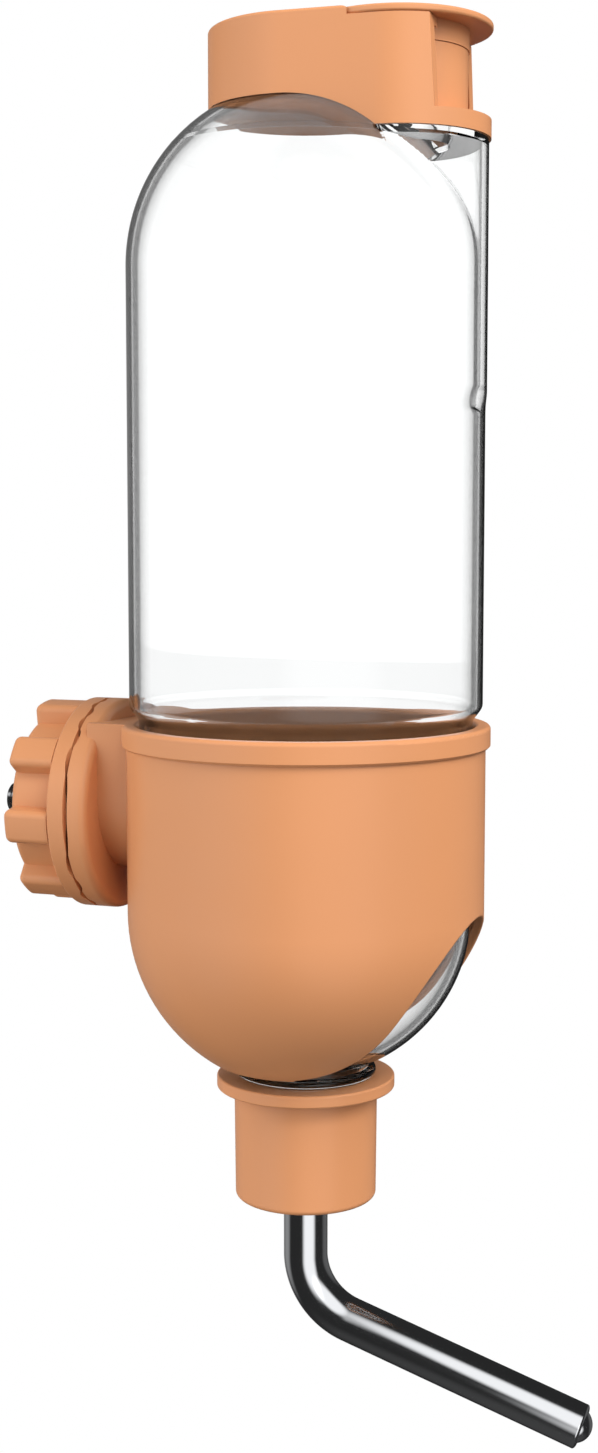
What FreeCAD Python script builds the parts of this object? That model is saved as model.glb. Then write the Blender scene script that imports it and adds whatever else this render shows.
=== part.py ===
"""Clamp-on water bottle for a rabbit cage: a clear bottle in a cup that a screw clamp holds to vertical bars.

Frame: the origin is the middle of the gap that grips the bars, +X points to the bottle and the nozzle,
+Z is up and the clamp screw lies along X. All sizes are in millimetres.
"""

import FreeCAD
import Part
import math
import os
import Sketcher

DIMENSIONS = {
    # bottle
    "bottle_radius": 33.0,
    "bottle_wall": 1.2,
    "dome_spacing": 119.0,  # between the centres of the upper and the lower dome
    "lower_dome_drop": 18.6,  # the lower dome's centre below the clamp screw
    "shoulder_step": 1.4,  # how far the bottle overhangs the cup's inside
    "shoulder_rise": 3.6,
    # filler spout and neck, moulded on the bottle
    "spout_radius": 16.4,
    "spout_bulge": 0.8,  # how far the spout stands proud of the bottle's front
    "spout_foot_drop": 22.6,  # below the upper dome's centre
    "spout_top_drop": 11.3,  # below the top of the dome
    "filler_neck_radius": 10.6,
    "filler_neck_rise": 2.0,  # above the top of the dome
    # outlet neck, moulded on the bottle
    "outlet_radius": 11.8,
    "outlet_wall": 1.6,
    "outlet_collar_step": 1.6,
    # filler housing
    "housing_rear_radius": 17.8,
    "housing_overhang": 0.4,
    "housing_rise": 9.0,  # above the top of the dome
    "housing_wall": 2.0,
    "housing_roof": 3.2,
    "housing_rounding": 0.6,
    "base_ring_height": 3.0,
    "dome_gap": 0.15,
    "pocket_setback": 10.6,  # from the spout's axis to the cut under the thumb tab
    "pocket_lean": 2.8,  # degrees
    "sleeve_wall": 1.7,
    "sleeve_rise": 3.8,  # above the top of the dome
    "sleeve_lip": 0.9,
    "sleeve_mouth_gap": 0.4,
    # flip lid and its hinge
    "lid_overhang": 0.2,
    "lid_thickness": 1.3,
    "lid_rounding": 0.45,
    "lid_gap": 0.1,
    "lid_side_gap": 0.5,
    "skirt_overhang": 0.2,
    "skirt_wall": 1.4,
    "skirt_gap": 0.6,
    "plug_gap": 1.3,
    "plug_wall": 1.5,
    "plug_depth": 7.4,
    "plug_bead_height": 0.6,
    "plug_bead_step": 0.3,
    "seal_gap": 0.5,
    "seal_height": 1.6,
    "hinge_setback": 2.5,  # from the lid's rim back to the pin
    "hinge_half_width": 6.8,
    "hinge_pin_radius": 1.0,
    "hinge_pin_hold": 3.4,  # how deep each end of the pin sits in the housing
    "hinge_block_wall": 1.5,
    "hinge_slot_gap": 0.6,
    "knuckle_wall": 0.8,
    # cup
    "cup_wall": 2.0,
    "cup_gap": 0.4,  # bottle to cup
    "band_step": 0.9,
    "band_top": 16.8,
    "band_height": 4.2,
    "band_rounding": 0.8,
    "cup_hole_gap": 0.9,
    "window_radius": 17.2,
    "window_drop": 16.8,  # from the lower dome's centre to the centre of the arch
    "window_rounding": 0.5,
    # clamp
    "jaw_radius": 20.3,
    "jaw_gap": 0.4,
    "jaw_thickness": 4.1,
    "jaw_rounding": 1.5,
    "plate_thickness": 3.5,
    "plate_rounding": 0.6,
    "wave_pitch": 5.8,
    "wave_depth": 0.5,
    "wave_margin": 1.0,  # plain rim round the ridges
    "arm_half_width": 14.6,
    "bolt_radius": 3.0,
    "bolt_tail": 8.2,  # thread behind the knob
    "bolt_head_flats": 10.0,
    "bolt_head_height": 4.0,
    "bolt_head_cover": 0.6,
    "washer_radius": 8.0,
    "washer_thickness": 1.2,
    "knob_radius": 19.8,
    "knob_lobe_depth": 3.3,
    "knob_thickness": 9.3,
    "knob_gap": 0.2,
    "knob_lobe_width": 6.5,
    "knob_lobe_angle": -8.8,
    "knob_rounding": 1.4,
    "nut_flats": 10.0,
    "nut_thickness": 5.0,
    "nut_depth": 1.7,
    # screw cap and seals
    "cap_wall": 1.4,
    "cap_height": 23.8,
    "cap_floor": 2.6,
    "cap_bore_gap": 0.4,
    "cap_taper": 0.2,
    "cap_rounding": 1.0,
    "flange_width": 3.3,
    "flange_thickness": 2.4,
    "flange_rounding": 0.4,
    "grommet_wall": 2.4,
    "grommet_flange": 2.0,
    "grommet_setback": 0.2,
    "gasket_thickness": 1.8,
    # nozzle
    "tube_radius": 4.2,
    "tube_wall": 0.5,
    "tube_inlet_height": 2.6,  # tube above its collar
    "tube_collar_width": 2.2,
    "tube_collar_height": 2.6,
    "bend_drop": 21.0,  # from the cap's foot to the corner of the tube's two axes
    "bend_radius": 12.9,
    "nozzle_slope": 17.6,  # degrees below level
    "nozzle_reach": 54.4,
    "tip_lip": 0.4,
    "tip_hole_step": 0.25,
    "ball_gap": 0.3,
    # fits shared by several pieces
    "free_gap": 0.3,
    "touch_gap": 0.1,
    "running_gap": 0.06,
    "seat_gap": 0.05,
    "ball_seat_gap": 0.02,
}
KNOB_LOBES = 8
WAVE_REACH = 3  # ridges each side of the middle one
PAST = "1"  # how far a cutting tool runs past the face it opens
FAR = "60"  # how far a cutting tool runs where nothing else lies in its way

# clamp, from the gripping gap outwards
JAW_FACE = "(dims.jaw_gap / 2)"
JAW_BACK = f"({JAW_FACE} + dims.jaw_thickness)"
HEAD_SEAT = f"({JAW_BACK} + dims.touch_gap)"
HEAD_END = f"({HEAD_SEAT} + dims.bolt_head_height)"
PLATE_BACK = f"({JAW_FACE} + dims.plate_thickness)"
WASHER_BACK = f"({PLATE_BACK} + dims.seat_gap + dims.washer_thickness)"
KNOB_FRONT = f"({PLATE_BACK} + dims.knob_gap)"
KNOB_BACK = f"({KNOB_FRONT} + dims.knob_thickness)"
KNOB_VALLEY = "(dims.knob_radius - dims.knob_lobe_depth)"
WAVE_RADIUS = "((dims.wave_pitch / 4)^2 / (2 * dims.wave_depth) + dims.wave_depth / 2)"

# cup and bottle
CUP_INNER = "(dims.bottle_radius - dims.shoulder_step)"
CUP_OUTER = f"({CUP_INNER} + dims.cup_wall)"
BAND_OUTER = f"({CUP_OUTER} + dims.band_step)"
BAND_FOOT = "(dims.band_top - dims.band_height)"
ARM_ROUND = "(dims.band_top - dims.arm_half_width)"
BOTTLE_AXIS = f"({HEAD_END} + dims.bolt_head_cover + {CUP_INNER})"
BOTTLE_LOWER = f"({CUP_INNER} - dims.cup_gap)"
LOWER_DOME = "(-dims.lower_dome_drop)"
UPPER_DOME = "(dims.dome_spacing - dims.lower_dome_drop)"
DOME_TOP = f"({UPPER_DOME} + dims.bottle_radius)"
SPOUT_OFFSET = "(dims.bottle_radius + dims.spout_bulge - dims.spout_radius)"
SPOUT_AXIS = f"({BOTTLE_AXIS} + {SPOUT_OFFSET})"
SPOUT_TOP = f"({DOME_TOP} - dims.spout_top_drop)"
NECK_TOP = f"({DOME_TOP} + dims.filler_neck_rise)"
NECK_BORE = "(dims.filler_neck_radius - dims.bottle_wall)"

# filler housing and lid
HOUSING_FRONT = "(dims.spout_radius + dims.housing_overhang)"
HOUSING_TOP = f"({DOME_TOP} + dims.housing_rise)"
ROOF_UNDERSIDE = f"({HOUSING_TOP} - dims.housing_roof)"
RING_BOTTOM = f"({SPOUT_TOP} + dims.touch_gap)"
RING_TOP = f"({RING_BOTTOM} + dims.base_ring_height)"
NECK_ROOM = "(dims.filler_neck_radius + dims.free_gap)"
SLEEVE = f"({NECK_ROOM} + dims.sleeve_wall)"
SLEEVE_TOP = f"({DOME_TOP} + dims.sleeve_rise)"
LIP_UNDERSIDE = f"({SLEEVE_TOP} - dims.sleeve_lip)"
LID_RADIUS = f"({HOUSING_FRONT} + dims.lid_overhang)"
LID_TOP = f"({HOUSING_TOP} - 2 * dims.lid_gap)"
LID_UNDERSIDE = f"({LID_TOP} - dims.lid_thickness)"
SHELF_LEVEL = f"({LID_UNDERSIDE} - dims.lid_gap)"
SKIRT = f"({SLEEVE} + dims.skirt_overhang)"
PLUG = f"({NECK_BORE} - dims.plug_gap)"
PLUG_FOOT = f"({LID_UNDERSIDE} - dims.plug_depth)"
KNUCKLE = "(dims.hinge_pin_radius + dims.knuckle_wall)"
PIN_HALF_LENGTH = "(dims.hinge_half_width + dims.hinge_pin_hold)"
HINGE_X = f"({SPOUT_AXIS} - {LID_RADIUS} - dims.hinge_setback)"
HINGE_Z = f"({HOUSING_TOP} - {KNUCKLE})"

# outlet, cap and nozzle, from the lower dome downwards
OUTLET_BORE = "(dims.outlet_radius - dims.outlet_wall)"
OUTLET_COLLAR = "(dims.outlet_radius + dims.outlet_collar_step)"
CAP_BORE = "(dims.outlet_radius + dims.cap_bore_gap)"
CAP_RADIUS = f"({CAP_BORE} + dims.cap_wall)"
FLANGE = f"({CAP_RADIUS} + dims.flange_width)"
FLANGE_TOP = f"({LOWER_DOME} - {BOTTLE_LOWER} - dims.free_gap)"
FLANGE_FOOT = f"({FLANGE_TOP} - dims.flange_thickness)"
CAP_FOOT = f"({FLANGE_TOP} - dims.cap_height)"
CAP_FLOOR_TOP = f"({CAP_FOOT} + dims.cap_floor)"
GROMMET_STEM = "(dims.tube_radius + dims.grommet_wall)"
GROMMET_TOP = f"({CAP_FLOOR_TOP} + dims.grommet_flange)"
GASKET_FOOT = f"({GROMMET_TOP} + dims.touch_gap)"
GASKET_TOP = f"({GASKET_FOOT} + dims.gasket_thickness)"
GASKET_RADIUS = f"({CAP_BORE} - dims.free_gap)"
OUTLET_END = f"({GASKET_TOP} + dims.touch_gap)"
COLLAR_TOP = f"({GASKET_FOOT} + dims.tube_collar_height)"
TUBE_TOP = f"({COLLAR_TOP} + dims.tube_inlet_height)"
TUBE_BORE = "(dims.tube_radius - dims.tube_wall)"
BEND_LEVEL = f"({CAP_FOOT} - dims.bend_drop)"
BALL = f"({TUBE_BORE} - dims.ball_gap)"
TIP_HOLE = f"({BALL} - dims.tip_hole_step)"
TIP_LENGTH = "(dims.nozzle_reach / cos(dims.nozzle_slope))"
BALL_SETBACK = f"(dims.tip_lip + sqrt({BALL}^2 - {TIP_HOLE}^2) + dims.ball_seat_gap)"
BALL_SPACING = f"(2 * {BALL} + dims.seat_gap)"

doc = FreeCAD.newDocument("water_bottle")
dims = doc.addObject("Spreadsheet::Sheet", "dims")
for row, (alias, size) in enumerate(DIMENSIONS.items(), start=1):
    dims.set(f"A{row}", alias)
    dims.set(f"B{row}", str(size))
    dims.setAlias(f"B{row}", alias)
doc.recompute()

PIECES = []


def number(expression):
    """The value that an expression of sheet sizes has now."""
    return float(dims.evalExpression(expression.replace("dims.", "")))


def keep(piece, label):
    """Names a finished piece and lists it for export."""
    piece.Label = label
    PIECES.append(piece)
    return piece


def place(piece, x="0", y="0", z="0"):
    """Ties a piece's place to sheet sizes."""
    for letter, expression in (("x", x), ("y", y), ("z", z)):
        piece.setExpression(f"Placement.Base.{letter}", expression)
    return piece


def turn(piece, axis, angle):
    """Turns a piece about an axis through its own origin by an expression of degrees."""
    quarter = FreeCAD.Rotation(FreeCAD.Vector(*axis), 90)
    piece.Placement = FreeCAD.Placement(FreeCAD.Vector(), quarter)
    piece.setExpression("Placement.Rotation.Angle", angle)
    return piece


def cylinder(name, radius, low, high, x="0", y="0"):
    """An upright cylinder between two levels."""
    piece = doc.addObject("Part::Cylinder", name)
    piece.setExpression("Radius", radius)
    piece.setExpression("Height", f"({high}) - ({low})")
    return place(piece, x, y, low)


def cylinder_x(name, radius, low, high, z="0"):
    """A cylinder along X between two stations."""
    piece = doc.addObject("Part::Cylinder", name)
    piece.setExpression("Radius", radius)
    piece.setExpression("Height", f"({high}) - ({low})")
    turn(piece, (0, 1, 0), "90")
    return place(piece, low, "0", z)


def cylinder_y(name, radius, half_length, x, z):
    """A cylinder along Y, centred on the XZ plane."""
    piece = doc.addObject("Part::Cylinder", name)
    piece.setExpression("Radius", radius)
    piece.setExpression("Height", f"2 * ({half_length})")
    turn(piece, (1, 0, 0), "-90")
    return place(piece, x, f"-({half_length})", z)


def box(name, x, y, z):
    """A box between pairs of expressions along X, Y and Z."""
    piece = doc.addObject("Part::Box", name)
    for side, (low, high) in zip(("Length", "Width", "Height"), (x, y, z)):
        piece.setExpression(side, f"({high}) - ({low})")
    return place(piece, x[0], y[0], z[0])


def sphere(name, radius, x, z):
    """A ball centred on the XZ plane."""
    piece = doc.addObject("Part::Sphere", name)
    piece.setExpression("Radius", radius)
    return place(piece, x, "0", z)


def prism_x(name, flats, low, high):
    """A hexagonal prism along X, by its width across flats."""
    piece = doc.addObject("Part::Prism", name)
    piece.Polygon = 6
    piece.setExpression("Circumradius", f"({flats}) / sqrt(3)")
    piece.setExpression("Height", f"({high}) - ({low})")
    turn(piece, (0, 1, 0), "90")
    return place(piece, low)


def fuse(name, *pieces):
    joined = doc.addObject("Part::MultiFuse", name)
    joined.Shapes = list(pieces)
    return joined


def common(name, *pieces):
    shared = doc.addObject("Part::MultiCommon", name)
    shared.Shapes = list(pieces)
    return shared


def cut(name, base, *tools):
    tool = tools[0] if len(tools) == 1 else fuse(name + "_tools", *tools)
    rest = doc.addObject("Part::Cut", name)
    rest.Base = base
    rest.Tool = tool
    return rest


def ring(name, outer, inner, low, high, x="0"):
    """An upright ring; the bore tool runs past both ends."""
    disc = cylinder(name + "_disc", outer, low, high, x)
    bore = cylinder(name + "_bore", inner, f"({low}) - {PAST}", f"({high}) + {PAST}", x)
    return cut(name, disc, bore)


def origin_plane(body, role):
    return next(f for f in body.Origin.OriginFeatures if f.Role == role)


def arc_centre(start, end, radius, turn_left):
    """The centre of the arc that bends left or right on its way from start to end."""
    chord = end - start
    half = chord.Length / 2
    rise = math.sqrt(max(radius**2 - half**2, 0))
    side = FreeCAD.Vector(-chord.y, chord.x, 0).normalize()
    return (start + end) * 0.5 + side * (rise if turn_left else -rise)


def bind(sketch, constraint, label, expression):
    """Adds a named constraint whose value follows an expression."""
    sketch.renameConstraint(sketch.addConstraint(constraint), label)
    sketch.setExpression(f"Constraints.{label}", expression)


def outline(body, name, plane, corners, closed=True):
    """A sketched line. A corner is (x, y) or (x, y, radius, turn_left) for an arc on to the next corner."""
    sketch = body.newObject("Sketcher::SketchObject", name)
    sketch.AttachmentSupport = [(origin_plane(body, plane), "")]
    sketch.MapMode = "FlatFace"
    points = [FreeCAD.Vector(number(corner[0]), number(corner[1]), 0) for corner in corners]
    ends = []
    runs = len(corners) if closed else len(corners) - 1
    for i, corner in enumerate(corners[:runs]):
        start, end = points[i], points[(i + 1) % len(points)]
        if len(corner) == 2:
            sketch.addGeometry(Part.LineSegment(start, end))
            ends.append((1, 2))
            continue
        radius = number(corner[2])
        centre = arc_centre(start, end, radius, corner[3])
        first, last = (start, end) if corner[3] else (end, start)
        angles = [math.atan2(point.y - centre.y, point.x - centre.x) for point in (first, last)]
        circle = Part.Circle(centre, FreeCAD.Vector(0, 0, 1), radius)
        sketch.addGeometry(Part.ArcOfCircle(circle, *angles))
        ends.append((1, 2) if corner[3] else (2, 1))
    for i in range(runs if closed else runs - 1):
        following = (i + 1) % runs
        meet = Sketcher.Constraint("Coincident", i, ends[i][1], following, ends[following][0])
        sketch.addConstraint(meet)
    for i, corner in enumerate(corners):
        run, end = (i, ends[i][0]) if i < runs else (runs - 1, ends[-1][1])
        for kind, expression in (("DistanceX", corner[0]), ("DistanceY", corner[1])):
            at = Sketcher.Constraint(kind, -1, 1, run, end, number(expression))
            bind(sketch, at, f"{kind}_{i}", expression)
        if len(corner) > 2:
            bend = Sketcher.Constraint("Radius", i, number(corner[2]))
            bind(sketch, bend, f"Radius_{i}", corner[2])
    return sketch


def revolved(name, corners, x="0"):
    """A body turned about the upright line through x, from an outline of radii and levels."""
    body = doc.addObject("PartDesign::Body", name)
    sketch = outline(body, name + "_outline", "XZ_Plane", corners)
    spin = body.newObject("PartDesign::Revolution", name + "_turned")
    spin.Profile = sketch
    spin.ReferenceAxis = (sketch, ["V_Axis"])
    spin.Angle = 360
    return place(body, x)


def bottle_form(name, inset):
    """The bottle's outside, or with an inset its hollow: the domed tube and the spout at its front."""
    lower, upper = f"({BOTTLE_LOWER} - {inset})", f"(dims.bottle_radius - {inset})"
    shoulder = "(dims.band_top + dims.free_gap)"
    tube = revolved(
        name + "_tube",
        [
            ("0", f"{LOWER_DOME} - {lower}", lower, True),
            (lower, LOWER_DOME),
            (lower, shoulder),
            (upper, f"{shoulder} + dims.shoulder_rise"),
            (upper, UPPER_DOME, upper, True),
            ("0", f"{UPPER_DOME} + {upper}"),
        ],
        BOTTLE_AXIS,
    )
    foot, top = f"{UPPER_DOME} - dims.spout_foot_drop + {inset}", f"{SPOUT_TOP} - {inset}"
    spout = cylinder(name + "_spout", f"dims.spout_radius - {inset}", foot, top, SPOUT_AXIS)
    return tube, spout


def bottle():
    """Clear bottle: a domed tube with a filler spout at its front and an outlet neck below."""
    in_dome = f"{LOWER_DOME} - {BOTTLE_LOWER} / 2"
    collar_foot = f"{FLANGE_TOP} + dims.touch_gap"
    outside = fuse(
        "bottle_outside",
        *bottle_form("outer", "0"),
        cylinder("filler_neck", "dims.filler_neck_radius", UPPER_DOME, NECK_TOP, SPOUT_AXIS),
        cylinder("outlet_collar", OUTLET_COLLAR, collar_foot, in_dome, BOTTLE_AXIS),
        cylinder("outlet_neck", "dims.outlet_radius", OUTLET_END, in_dome, BOTTLE_AXIS),
    )
    hollow = fuse(
        "bottle_hollow",
        *bottle_form("inner", "dims.bottle_wall"),
        cylinder("filler_bore", NECK_BORE, UPPER_DOME, f"{NECK_TOP} + {PAST}", SPOUT_AXIS),
        cylinder("outlet_bore", OUTLET_BORE, f"{OUTLET_END} - {PAST}", LOWER_DOME, BOTTLE_AXIS),
    )
    keep(cut("bottle_shell", outside, hollow), "bottle_body")


def long_round(name, inset, low, high, rounding=None):
    """An upright slab whose plan wraps the housing's rear and front circles, drawn inwards by an inset."""
    rear, front = f"(dims.housing_rear_radius - {inset})", f"({HOUSING_FRONT} - {inset})"
    lean = f"((dims.housing_rear_radius - {HOUSING_FRONT}) / {SPOUT_OFFSET})"
    across = f"sqrt(1 - {lean}^2)"
    body = doc.addObject("PartDesign::Body", name)
    corners = [
        (f"{BOTTLE_AXIS} + {rear} * {lean}", f"-{rear} * {across}"),
        (f"{SPOUT_AXIS} + {front} * {lean}", f"-{front} * {across}", front, True),
        (f"{SPOUT_AXIS} + {front}", "0", front, True),
        (f"{SPOUT_AXIS} + {front} * {lean}", f"{front} * {across}"),
        (f"{BOTTLE_AXIS} + {rear} * {lean}", f"{rear} * {across}", rear, True),
        (f"{BOTTLE_AXIS} - {rear}", "0", rear, True),
    ]
    slab = body.newObject("PartDesign::Pad", name + "_height")
    slab.Profile = outline(body, name + "_plan", "XY_Plane", corners)
    slab.setExpression("Length", f"({high}) - ({low})")
    if rounding:
        doc.recompute()
        soften(body, slab, rounding, lambda edge, top: edge.BoundBox.ZMin > top)
    return place(body, z=low)


def soften(body, block, rounding, chosen):
    """Rounds the edges of a body's block that a test picks; the test also gets a level just under its top."""
    top = block.Shape.BoundBox.ZMax - 0.001
    edges = [f"Edge{i}" for i, edge in enumerate(block.Shape.Edges, 1) if chosen(edge, top)]
    soft = body.newObject("PartDesign::Fillet", body.Name + "_rounding")
    soft.Base = (block, edges)
    soft.setExpression("Radius", rounding)


def filler_housing():
    """Shroud over the top dome, with a sleeve round the filler neck, a shelf for the lid and a thumb pocket."""
    above = f"{HOUSING_TOP} + {PAST}"
    slot_rear = f"{HINGE_X} - {KNUCKLE} - dims.hinge_slot_gap"
    slot_front = f"{SPOUT_AXIS} - {LID_RADIUS} + {PAST}"
    slot_foot = f"{HINGE_Z} - {KNUCKLE} - dims.free_gap"
    slot_half_width = "(dims.hinge_half_width + dims.free_gap)"
    block_half_width = f"({PIN_HALF_LENGTH} + dims.hinge_block_wall)"
    hinge_block = box(
        "hinge_block_stays",
        (f"{slot_rear} - dims.hinge_block_wall", f"{slot_front} + dims.hinge_block_wall"),
        (f"-{block_half_width}", block_half_width),
        (f"{slot_foot} - dims.hinge_block_wall", ROOF_UNDERSIDE),
    )
    cavity = cut(
        "shroud_cavity",
        long_round("shroud_inner", "dims.housing_wall", RING_TOP, ROOF_UNDERSIDE),
        cylinder("sleeve_stays", SLEEVE, RING_TOP, ROOF_UNDERSIDE, SPOUT_AXIS),
        hinge_block,
    )
    slot = box(
        "hinge_slot",
        (slot_rear, slot_front),
        (f"-{slot_half_width}", slot_half_width),
        (slot_foot, above),
    )
    mouth = f"{NECK_BORE} + dims.sleeve_mouth_gap"
    housing = cut(
        "housing_shell",
        long_round("shroud_outer", "0", RING_BOTTOM, HOUSING_TOP, "dims.housing_rounding"),
        cavity,
        sphere("dome_room", "dims.bottle_radius + dims.dome_gap", BOTTLE_AXIS, UPPER_DOME),
        cylinder("lid_recess", f"{LID_RADIUS} + dims.lid_side_gap", SHELF_LEVEL, above, SPOUT_AXIS),
        cylinder("skirt_room", f"{SKIRT} + dims.skirt_gap", SLEEVE_TOP, HOUSING_TOP, SPOUT_AXIS),
        cylinder("neck_room", NECK_ROOM, UPPER_DOME, LIP_UNDERSIDE, SPOUT_AXIS),
        cylinder("sleeve_mouth", mouth, UPPER_DOME, HOUSING_TOP, SPOUT_AXIS),
        cylinder_y("hinge_pin_hole", "dims.hinge_pin_radius", PIN_HALF_LENGTH, HINGE_X, HINGE_Z),
        slot,
        thumb_pocket(),
    )
    keep(housing, "filler_housing")


def thumb_pocket():
    """The room under the thumb tab: all that lies in front of a leaning cut, less the sleeve."""
    half_width = f"(2 * {HOUSING_FRONT})"
    front = doc.addObject("Part::Box", "pocket_front")
    front.setExpression("Length", half_width)
    front.setExpression("Width", f"2 * {half_width}")
    front.setExpression("Height", f"2 * ({HOUSING_TOP} - {RING_TOP})")
    turn(front, (0, 1, 0), "-dims.pocket_lean")
    place(front, f"{SPOUT_AXIS} + dims.pocket_setback", f"-{half_width}", RING_TOP)
    above_ring = box(
        "above_ring",
        (BOTTLE_AXIS, f"{SPOUT_AXIS} + {half_width}"),
        (f"-{half_width}", half_width),
        (RING_TOP, f"{HOUSING_TOP} + {PAST}"),
    )
    sleeve = cylinder("pocket_sleeve", SLEEVE, UPPER_DOME, SLEEVE_TOP, SPOUT_AXIS)
    return cut("pocket", common("pocket_room", front, above_ring), sleeve)


def rounded_rim(radius, low, high, rounding):
    """Corners of a turned piece's rim, from its foot to its top, with both edges rounded."""
    return [
        (f"{radius} - {rounding}", low, rounding, True),
        (radius, f"{low} + {rounding}"),
        (radius, f"{high} - {rounding}", rounding, True),
        (f"{radius} - {rounding}", high),
    ]


def flip_lid():
    """Round lid with a skirt that meets the sleeve, a plug for the neck and a hinge knuckle."""
    rim = rounded_rim(LID_RADIUS, LID_UNDERSIDE, LID_TOP, "dims.lid_rounding")
    disc = revolved("lid_disc", [("0", LID_UNDERSIDE), *rim, ("0", LID_TOP)], SPOUT_AXIS)
    skirt_foot = f"{SLEEVE_TOP} + dims.touch_gap"
    skirt = ring("lid_skirt", SKIRT, f"{SKIRT} - dims.skirt_wall", skirt_foot, LID_UNDERSIDE, SPOUT_AXIS)
    plug_bore = f"{PLUG} - dims.plug_wall"
    plug = ring("lid_plug", PLUG, plug_bore, PLUG_FOOT, LID_UNDERSIDE, SPOUT_AXIS)
    bead_top = f"({PLUG_FOOT} + dims.plug_bead_height)"
    bead = ring("plug_bead", f"{PLUG} + dims.plug_bead_step", plug_bore, PLUG_FOOT, bead_top, SPOUT_AXIS)
    tab = box(
        "hinge_tab",
        (HINGE_X, f"{SPOUT_AXIS} - {LID_RADIUS} + {PAST}"),
        ("-dims.hinge_half_width", "dims.hinge_half_width"),
        (LID_UNDERSIDE, LID_TOP),
    )
    knuckle = cylinder_y("lid_knuckle", KNUCKLE, "dims.hinge_half_width", HINGE_X, HINGE_Z)
    bore_radius, bore_half_length = "dims.hinge_pin_radius + dims.running_gap", f"dims.hinge_half_width + {PAST}"
    bore = cylinder_y("knuckle_bore", bore_radius, bore_half_length, HINGE_X, HINGE_Z)
    keep(cut("lid", fuse("lid_solid", disc, skirt, plug, bead, tab, knuckle), bore), "flip_lid")
    seal_foot = f"({bead_top} + dims.touch_gap)"
    seal_radius = f"{NECK_BORE} - dims.seal_gap"
    seal = ring("plug_seal", seal_radius, PLUG, seal_foot, f"{seal_foot} + dims.seal_height", SPOUT_AXIS)
    keep(seal, "lid_plug_seal")
    pin = cylinder_y("hinge_pin", "dims.hinge_pin_radius", PIN_HALF_LENGTH, HINGE_X, HINGE_Z)
    keep(pin, "lid_hinge_pin")
    gasket_bore = f"{NECK_BORE} + dims.touch_gap"
    gasket = ring("neck_gasket", "dims.filler_neck_radius", gasket_bore, NECK_TOP, LIP_UNDERSIDE, SPOUT_AXIS)
    keep(gasket, "filler_gasket")


def wave_rods(name, mean, towards_bottle, shift):
    """Upright rods whose sides make one half of a jaw's waves, a pitch apart across the jaw."""
    sign = "+" if towards_bottle else "-"
    centre = f"{mean} {sign} ({WAVE_RADIUS} - dims.wave_depth)"
    rods = []
    for step in range(-WAVE_REACH - 1, WAVE_REACH + 2):
        across = f"({step} + {shift}) * dims.wave_pitch"
        rod_name = f"{name}_{step + WAVE_REACH + 1}"
        rods.append(cylinder(rod_name, WAVE_RADIUS, "-dims.jaw_radius", "dims.jaw_radius", centre, across))
    return fuse(name, *rods)


def rounded_disc_x(name, radius, low, high, rounding, round_low):
    """A disc along X with one rounded rim."""
    disc = cylinder_x(name + "_disc", radius, low, high)
    doc.recompute()
    station = number(low if round_low else high)
    rims = [i for i, e in enumerate(disc.Shape.Edges, 1) if e.Closed and e.BoundBox.XLength < 0.001]
    rim = next(i for i in rims if abs(disc.Shape.Edges[i - 1].BoundBox.XMin - station) < 0.001)
    soft = doc.addObject("Part::Fillet", name)
    soft.Base = disc
    soft.Edges = [(rim, number(rounding), number(rounding))]
    return soft


def cup_shell():
    """The cup's wall: a round-bottomed tube with a collar band at its rim."""
    edge, top = "dims.band_rounding", "dims.band_top"
    return revolved(
        "cup_shell",
        [
            ("0", f"{LOWER_DOME} - {CUP_OUTER}", CUP_OUTER, True),
            (CUP_OUTER, LOWER_DOME),
            (CUP_OUTER, BAND_FOOT),
            (f"{BAND_OUTER} - {edge} / 2", BAND_FOOT),
            (BAND_OUTER, f"{BAND_FOOT} + {edge} / 2"),
            (BAND_OUTER, f"{top} - {edge}", edge, True),
            (f"{BAND_OUTER} - {edge}", top),
            (f"{CUP_INNER} + {edge}", top, edge, True),
            (CUP_INNER, f"{top} - {edge}"),
            (CUP_INNER, LOWER_DOME, CUP_INNER, False),
            ("0", f"{LOWER_DOME} - {CUP_INNER}"),
        ],
        BOTTLE_AXIS,
    )


def clamp_arm():
    """The short arm between the jaw and the cup: flat on top, round below, and cut to the cup's wall."""
    start, end = f"{JAW_FACE} + dims.jaw_thickness / 2", f"{BOTTLE_AXIS} - {CUP_OUTER} / 2"
    block = box(
        "arm_block",
        (start, end),
        ("-dims.arm_half_width", "dims.arm_half_width"),
        (ARM_ROUND, "dims.band_top"),
    )
    underside = cylinder_x("arm_round", "dims.arm_half_width", start, end, ARM_ROUND)
    cup_room = cylinder("arm_cup_room", f"{CUP_INNER} + dims.cup_wall / 2", f"-{FAR}", FAR, BOTTLE_AXIS)
    return cut("arm", fuse("arm_solid", underside, block), cup_room)


def front_window():
    """The arched window at the cup's front, open at its foot."""
    ahead = (BOTTLE_AXIS, f"{BOTTLE_AXIS} + 2 * {CUP_OUTER}")
    arch_level = f"({LOWER_DOME} - dims.window_drop)"
    arch = cylinder_x("window_arch", "dims.window_radius", *ahead, arch_level)
    across = ("-dims.window_radius", "dims.window_radius")
    legs = box("window_legs", ahead, across, (f"{LOWER_DOME} - 2 * {CUP_OUTER}", arch_level))
    return fuse("window", arch, legs)


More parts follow.
